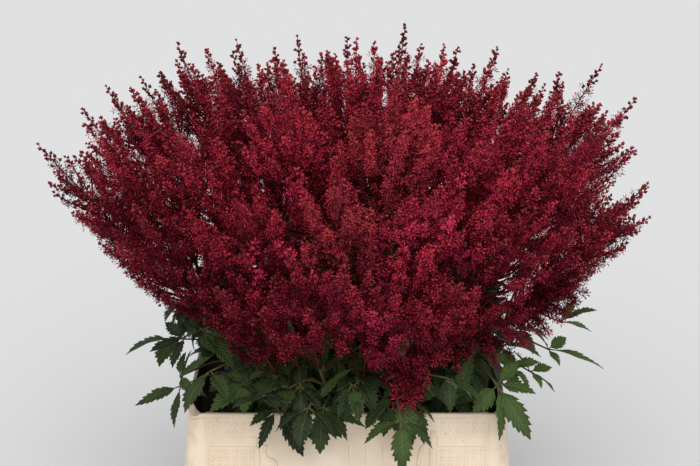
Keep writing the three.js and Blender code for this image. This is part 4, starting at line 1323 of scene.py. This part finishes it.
def add_rib(shell, side, path, width, high):
    """A rounded rib along a path of (u, z) on a side wall, lower and narrower at its ends."""
    path = np.asarray(path, float)
    ahead = unit(np.gradient(path, axis=0))
    square = np.stack([-ahead[:, 1], ahead[:, 0]], 1)
    profile = [(-0.5, None), (-0.5, 0.25), (-0.3, 0.8), (0, 1.0), (0.3, 0.8), (0.5, 0.25), (0.5, None)]
    points = []
    for i, here in enumerate(path):
        lower, narrower = (0.35, 0.8) if i in (0, len(path) - 1) else (1.0, 1.0)
        for aside, lift in profile:
            u, z = here + square[i] * aside * width * narrower
            height = SUNK if lift is None else lift * high * lower
            in_panel = PANEL_LOW < z < PANEL_HIGH and abs(u) < panel_edge(side, z)
            points.append(face_point(side, u, z, height - RECESS * in_panel))
    shell.add(points, ring_faces(len(path), len(profile))[:, ::-1], PLAIN)


def add_plate(shell, side, u, z, wide, tall):
    """A bare raised plate with softened edges."""
    points, levels = [], ((0, SUNK), (0, 0.5), (0.5, 1.0), (1.2, 1.2), (1.8, 1.0))
    for inset, lift in levels:
        a, b = wide / 2 - inset, tall / 2 - inset
        corner = min(1.6, b)
        for sx, sz, start in ((1, 1, 0), (-1, 1, 90), (-1, -1, 180), (1, -1, 270)):
            for step in (0, 30, 60, 90):
                t = math.radians(start + step)
                points.append(face_point(side, u + sx * (a - corner) + corner * math.cos(t),
                                         z + sz * (b - corner) + corner * math.sin(t), lift - RECESS))
    shell.add(points, ring_faces(len(levels), 16), PLAIN)


def add_dot(shell, side, u, z):
    """A low round dot with a hollow in its middle."""
    radius, high, corners = 3.6, 0.9, 10
    levels = ((1.0, SUNK / high), (0.98, 0.3), (0.84, 1.0), (0.66, 0.8), (0.5, 0.1), (0.2, 0.05))
    angles = 2 * math.pi * np.arange(corners) / corners
    points = [face_point(side, u + radius * share * math.cos(t), z + radius * share * math.sin(t),
                         lift * high - RECESS) for share, lift in levels for t in angles]
    shell.add(points, ring_faces(len(levels), corners), PLAIN)


# Edges of the hand grips on a long side, along and up
WAVY_GRIP = [(-101.5, 259), (-103.8, 249), (-99, 241), (-92, 237), (-89.5, 230), (-95, 222), (-97, 214), (-90, 208),
             (-88, 201), (-93, 195)]
STRAIGHT_GRIP = [(104, 262), (96, 257), (92, 250), (90, 236), (89, 215), (91, 196)]
DOT_ROWS, DOT_START, DOT_STEP = (284.5, 275.1, 249.6, 240.2, 230.8, 221.4, 212.0, 202.6), 120.1, 10.06


def build_relief():
    """Grip ribs, fine lines, bare label plates and rows of dots on the long sides, and ribs on the short ones."""
    shell = Shell()
    for side in (0, 2):
        for sign in (-1, 1):
            add_rib(shell, side, [(sign * 177.5, 286), (sign * 175, 240), (sign * 172, 194)], 2.0, 0.9)
        add_rib(shell, side, smooth_path(WAVY_GRIP, 40)[0], 4.4, 3.0)
        add_rib(shell, side, smooth_path(STRAIGHT_GRIP, 24)[0], 5.0, 3.0)
        add_rib(shell, side, [(-113, z) for z in (257, 240, 215, 196)], 8.0, 1.5)
        add_rib(shell, side, [(108, z) for z in (277, 255, 225, 196)], 10.0, 1.7)
        for u in (2, 23, 44.5, 66):
            add_rib(shell, side, [(u, z) for z in (258, 240, 215, 193)], 1.3, 0.7)
        for sign in (-1, 1):
            add_plate(shell, side, sign * 142.5, 262.4, 59, 12.6)
            for row in DOT_ROWS:
                for k in range(6):
                    add_dot(shell, side, sign * (DOT_START + DOT_STEP * k), row)
    for side in (1, 3):
        for u in (-96, -72, 72, 96):
            add_rib(shell, side, [(u, z) for z in (270, 245, 220, 196)], 2.2, 1.0)
    return shell


# ---- settings ----


def colour(name, red, green, blue, text):
    """A colour setting from 0 to 255 numbers."""
    def linear(v):
        v /= 255
        return v / 12.92 if v <= 0.04045 else ((v + 0.055) / 1.055) ** 2.4
    value = (linear(red), linear(green), linear(blue), 1.0)
    return FloatVectorProperty(name=name, description=text, subtype="COLOR", size=4, min=0, max=1,
                               default=value)


def number(name, value, low, high, text, kind=FloatProperty):
    """A setting that is one number."""
    return kind(name=name, description=text, default=value, min=low, max=high)


class PlumeSettings(PropertyGroup):
    """Sizes in millimetres and colours of the plumes."""
    fingers: number("Fine side branches", 36, 4, 60, "Side branches a plume has beside its main ones", IntProperty)
    floret: number("Open floret", 6.6, 1, 10, "Width of an open floret")
    bud: number("Bud", 5.2, 1, 10, "Width of a closed bud")
    branchlet_gap: number("Branchlet gap", 3.7, 2, 20, "Distance between branchlets")
    floret_gap: number("Floret gap", 3.2, 1, 10, "Distance between florets of a branchlet")
    spread: number("Spread", 0.2, 0.05, 1, "How fast branchlets grow longer away from a tip")
    budding: number("Budding", 34, 0, 100, "Stretch at a tip where all florets are closed")
    spur: number("Branchlet radius", 0.8, 0.2, 4, "Radius of a branchlet at its root")
    tip_radius: number("Top radius", 15, 2, 30, "Reach of the longest branchlets on the stalk")
    deep: colour("Deep red", 34, 1, 6, "Colour of shaded and closed florets")
    bright: colour("Crimson", 196, 52, 70, "Colour of fresh florets")
    pink: colour("Rose", 206, 54, 94, "Colour of the pinkest florets")
    brown: colour("Fading", 150, 74, 66, "Colour of fading florets and thin stalks")


class LeafSettings(PropertyGroup):
    """Teeth and colours of the leaves and stems."""
    teeth: number("Teeth", 8, 3, 16, "Teeth on each side of a leaflet", IntProperty)
    dark: colour("Dark green", 15, 24, 13, "Darkest leaf colour")
    light: colour("Light green", 78, 102, 42, "Lightest leaf colour")
    vein: colour("Vein", 96, 116, 66, "Ribs and veins")
    under: colour("Underside", 104, 124, 84, "Underside of a leaf")
    rust: colour("Rust", 110, 70, 45, "Aged leaf edges")
    stalk: colour("Stem", 70, 84, 44, "Stems")
    stalk_light: colour("Light stem", 128, 134, 78, "Paler fibres of the stems")
    petiole: colour("Leaf stalk", 78, 56, 38, "Reddish leaf stalks")


class ContainerSettings(PropertyGroup):
    """Colours of the container and its water."""
    cream: colour("Cream", 240, 224, 203, "Main colour of the plastic")
    cream_shade: colour("Cream shade", 228, 208, 184, "Flow marks in the plastic")
    # Colour of grime and painted shade at the foot, in the groove under the rim, in the corner scoops and inside
    grime_and_shade: colour("Grime", 160, 136, 106, "Dust in corners and inside")
    # Painted shade over the inside of the walls
    inside_shade: colour("Stain", 62, 52, 40, "Stained inside of the walls")
    scuff: colour("Scuff", 214, 196, 174, "Scuffed places")
    dirt: colour("Dirt", 92, 66, 46, "Specks of soil")
    water: colour("Water", 206, 222, 208, "Tint of the water")
    water_dust: colour("Film", 120, 120, 90, "Film on the water")


class StageSettings(PropertyGroup):
    """Camera, lamps and floor."""
    lens: number("Lens", 101.78, 20, 300, "Focal length in millimetres")
    tilt: number("Tilt", 18, 0, 90, "Degrees that the camera looks down")
    key: number("Key light", 2.6, 0, 100, "Strength of the broad front light")
    fill: number("Top light", 0.3, 0, 100, "Strength of the broad overhead light")
    sky: number("Surrounding light", 0.46, 0, 100, "Strength of the light from all round")
    floor: colour("Floor", 214, 214, 214, "Colour of the floor")


class BouquetSettings(PropertyGroup):
    """All settings of the bouquet."""
    plumes: PointerProperty(type=PlumeSettings)
    leaves: PointerProperty(type=LeafSettings)
    container: PointerProperty(type=ContainerSettings)
    stage: PointerProperty(type=StageSettings)


def settings(context):
    """The bouquet's settings, which the scene carries."""
    return context.scene.astilbe_bouquet


# ---- operators ----


class ASTILBE_OT_plumes(Operator):
    """Build every plume with its side branches, buds and open florets"""
    bl_idname = "astilbe.plumes"
    bl_label = "Plumes"

    def execute(self, context):
        look = settings(context).plumes
        material = plume_material(look)
        for index, plume in enumerate(PLUMES):
            node = f"plume_{index + 1:02d}"
            piece = build_plume(plume, index, look).piece(node + "_florets", [material])
            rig.replaces(piece, node)
            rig.slot(piece, "plume_red")
        return {"FINISHED"}


class ASTILBE_OT_leafy_stems(Operator):
    """Build every bunch of stems with its leaves"""
    bl_idname = "astilbe.leafy_stems"
    bl_label = "Leafy stems"

    def execute(self, context):
        look = settings(context).leaves
        materials = [leaf_material(look), stem_material(look)]
        for index, bunch in enumerate(BOUQUET):
            node = f"leafy_stems_{index + 1:02d}"
            piece = build_leafy_stems(bunch, index, look).piece(node + "_fine", materials)
            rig.replaces(piece, node)
            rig.slot(piece, "stem_green")
        return {"FINISHED"}


class ASTILBE_OT_container(Operator):
    """Build the container's walls, rim, ribs, plates and dots"""
    bl_idname = "astilbe.container"
    bl_label = "Container"

    def execute(self, context):
        material = plastic_material(settings(context).container)
        walls = build_container().piece("container_walls", [material])
        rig.replaces(walls, "container")
        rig.slot(walls, "cream_plastic")
        relief = build_relief().piece("container_relief", [material])
        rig.slot(relief, "cream_plastic")
        return {"FINISHED"}


class ASTILBE_OT_water(Operator):
    """Give the water its finish"""
    bl_idname = "astilbe.water"
    bl_label = "Water"

    def execute(self, context):
        water = frame["nodes"]["water"]
        water.data.materials.clear()
        water.data.materials.append(water_material(settings(context).container))
        return {"FINISHED"}


CAMERA_AT = (0.0037, -2.433, 1.279)
KEY_FROM, KEY_SPREAD = (-0.02, -1.0, 1.0), 56  # direction a lamp shines from, and its width in degrees
TOP_FROM, TOP_SPREAD = (0.3, 0.1, 1.0), 80
FLOOR_HALF = 30  # half the floor's width in metres
SKY_TINT = (0.97, 0.98, 1.0, 1.0)


def sun_light(name, origin, power, spread):
    """A wide soft lamp that shines the same everywhere, from the side of origin."""
    data = bpy.data.lights.new(name, "SUN")
    data.energy, data.angle = power, math.radians(spread)
    lamp = bpy.data.objects.new(name, data)
    bpy.context.scene.collection.objects.link(lamp)
    lamp.rotation_euler = Vector(origin).to_track_quat("Z", "Y").to_euler()


class ASTILBE_OT_stage(Operator):
    """Set up the floor, lamps and camera"""
    bl_idname = "astilbe.stage"
    bl_label = "Stage"

    def execute(self, context):
        look = settings(context).stage
        scene = context.scene
        mesh = bpy.data.meshes.new("studio_floor")
        corners = [(x * FLOOR_HALF, y * FLOOR_HALF, 0) for x, y in ((-1, -1), (1, -1), (1, 1), (-1, 1))]
        mesh.from_pydata(corners, [], [(0, 1, 2, 3)])
        floor = bpy.data.objects.new("studio_floor", mesh)
        scene.collection.objects.link(floor)
        paint = Paint("studio_floor", Roughness=0.9, Specular_IOR_Level=0.1)
        paint.feed("Base Color", paint.blend(paint.noise(1.5) * 0.1, look.floor, (0.62, 0.62, 0.62, 1)))
        mesh.materials.append(paint.material)
        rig.stage(floor)
        camera = bpy.data.objects.new("camera", bpy.data.cameras.new("camera"))
        scene.collection.objects.link(camera)
        camera.data.lens = look.lens
        camera.data.clip_end = 200
        camera.location = CAMERA_AT
        camera.rotation_euler = (math.radians(90 - look.tilt), 0, 0)
        scene.camera = camera
        sun_light("key_light", KEY_FROM, look.key, KEY_SPREAD)
        sun_light("top_light", TOP_FROM, look.fill, TOP_SPREAD)
        world = bpy.data.worlds.new("studio_light")
        world.use_nodes = True
        background = world.node_tree.nodes["Background"]
        background.inputs[0].default_value = SKY_TINT
        background.inputs[1].default_value = look.sky
        scene.world = world
        scene.view_settings.view_transform = "Standard"
        return {"FINISHED"}


class ASTILBE_PT_bouquet(Panel):
    """Lists the pieces and their settings"""
    bl_idname = "ASTILBE_PT_bouquet"
    bl_label = "Astilbe bouquet"
    bl_space_type = "VIEW_3D"
    bl_region_type = "UI"
    bl_category = "Astilbe"

    def draw(self, context):
        look = settings(context)
        for group, operator in ((look.stage, "stage"), (look.container, "container"), (None, "water"),
                                (look.leaves, "leafy_stems"), (look.plumes, "plumes")):
            box = self.layout.box()
            box.operator("astilbe." + operator)
            for name in group.bl_rna.properties.keys() if group else ():
                if name not in ("rna_type", "name"):
                    box.prop(group, name)


CLASSES = (PlumeSettings, LeafSettings, ContainerSettings, StageSettings, BouquetSettings, ASTILBE_OT_plumes,
           ASTILBE_OT_leafy_stems, ASTILBE_OT_container, ASTILBE_OT_water, ASTILBE_OT_stage, ASTILBE_PT_bouquet)


def register():
    for cls in CLASSES:
        bpy.utils.register_class(cls)
    bpy.types.Scene.astilbe_bouquet = PointerProperty(type=BouquetSettings)


def unregister():
    del bpy.types.Scene.astilbe_bouquet
    for cls in reversed(CLASSES):
        bpy.utils.unregister_class(cls)


def main():
    """Builds everything and writes down the sizes before and after."""
    register()
    bpy.ops.astilbe.stage()
    bpy.ops.astilbe.container()
    bpy.ops.astilbe.water()
    bpy.ops.astilbe.leafy_stems()
    bpy.ops.astilbe.plumes()
    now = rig.bounds()
    sizes = {"cad": [list(corner) for corner in CAD_BOX], "visual": [list(corner) for corner in now]}
    with open("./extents.json", "w") as out:
        json.dump(sizes, out)


if __name__ == "__main__":
    main()
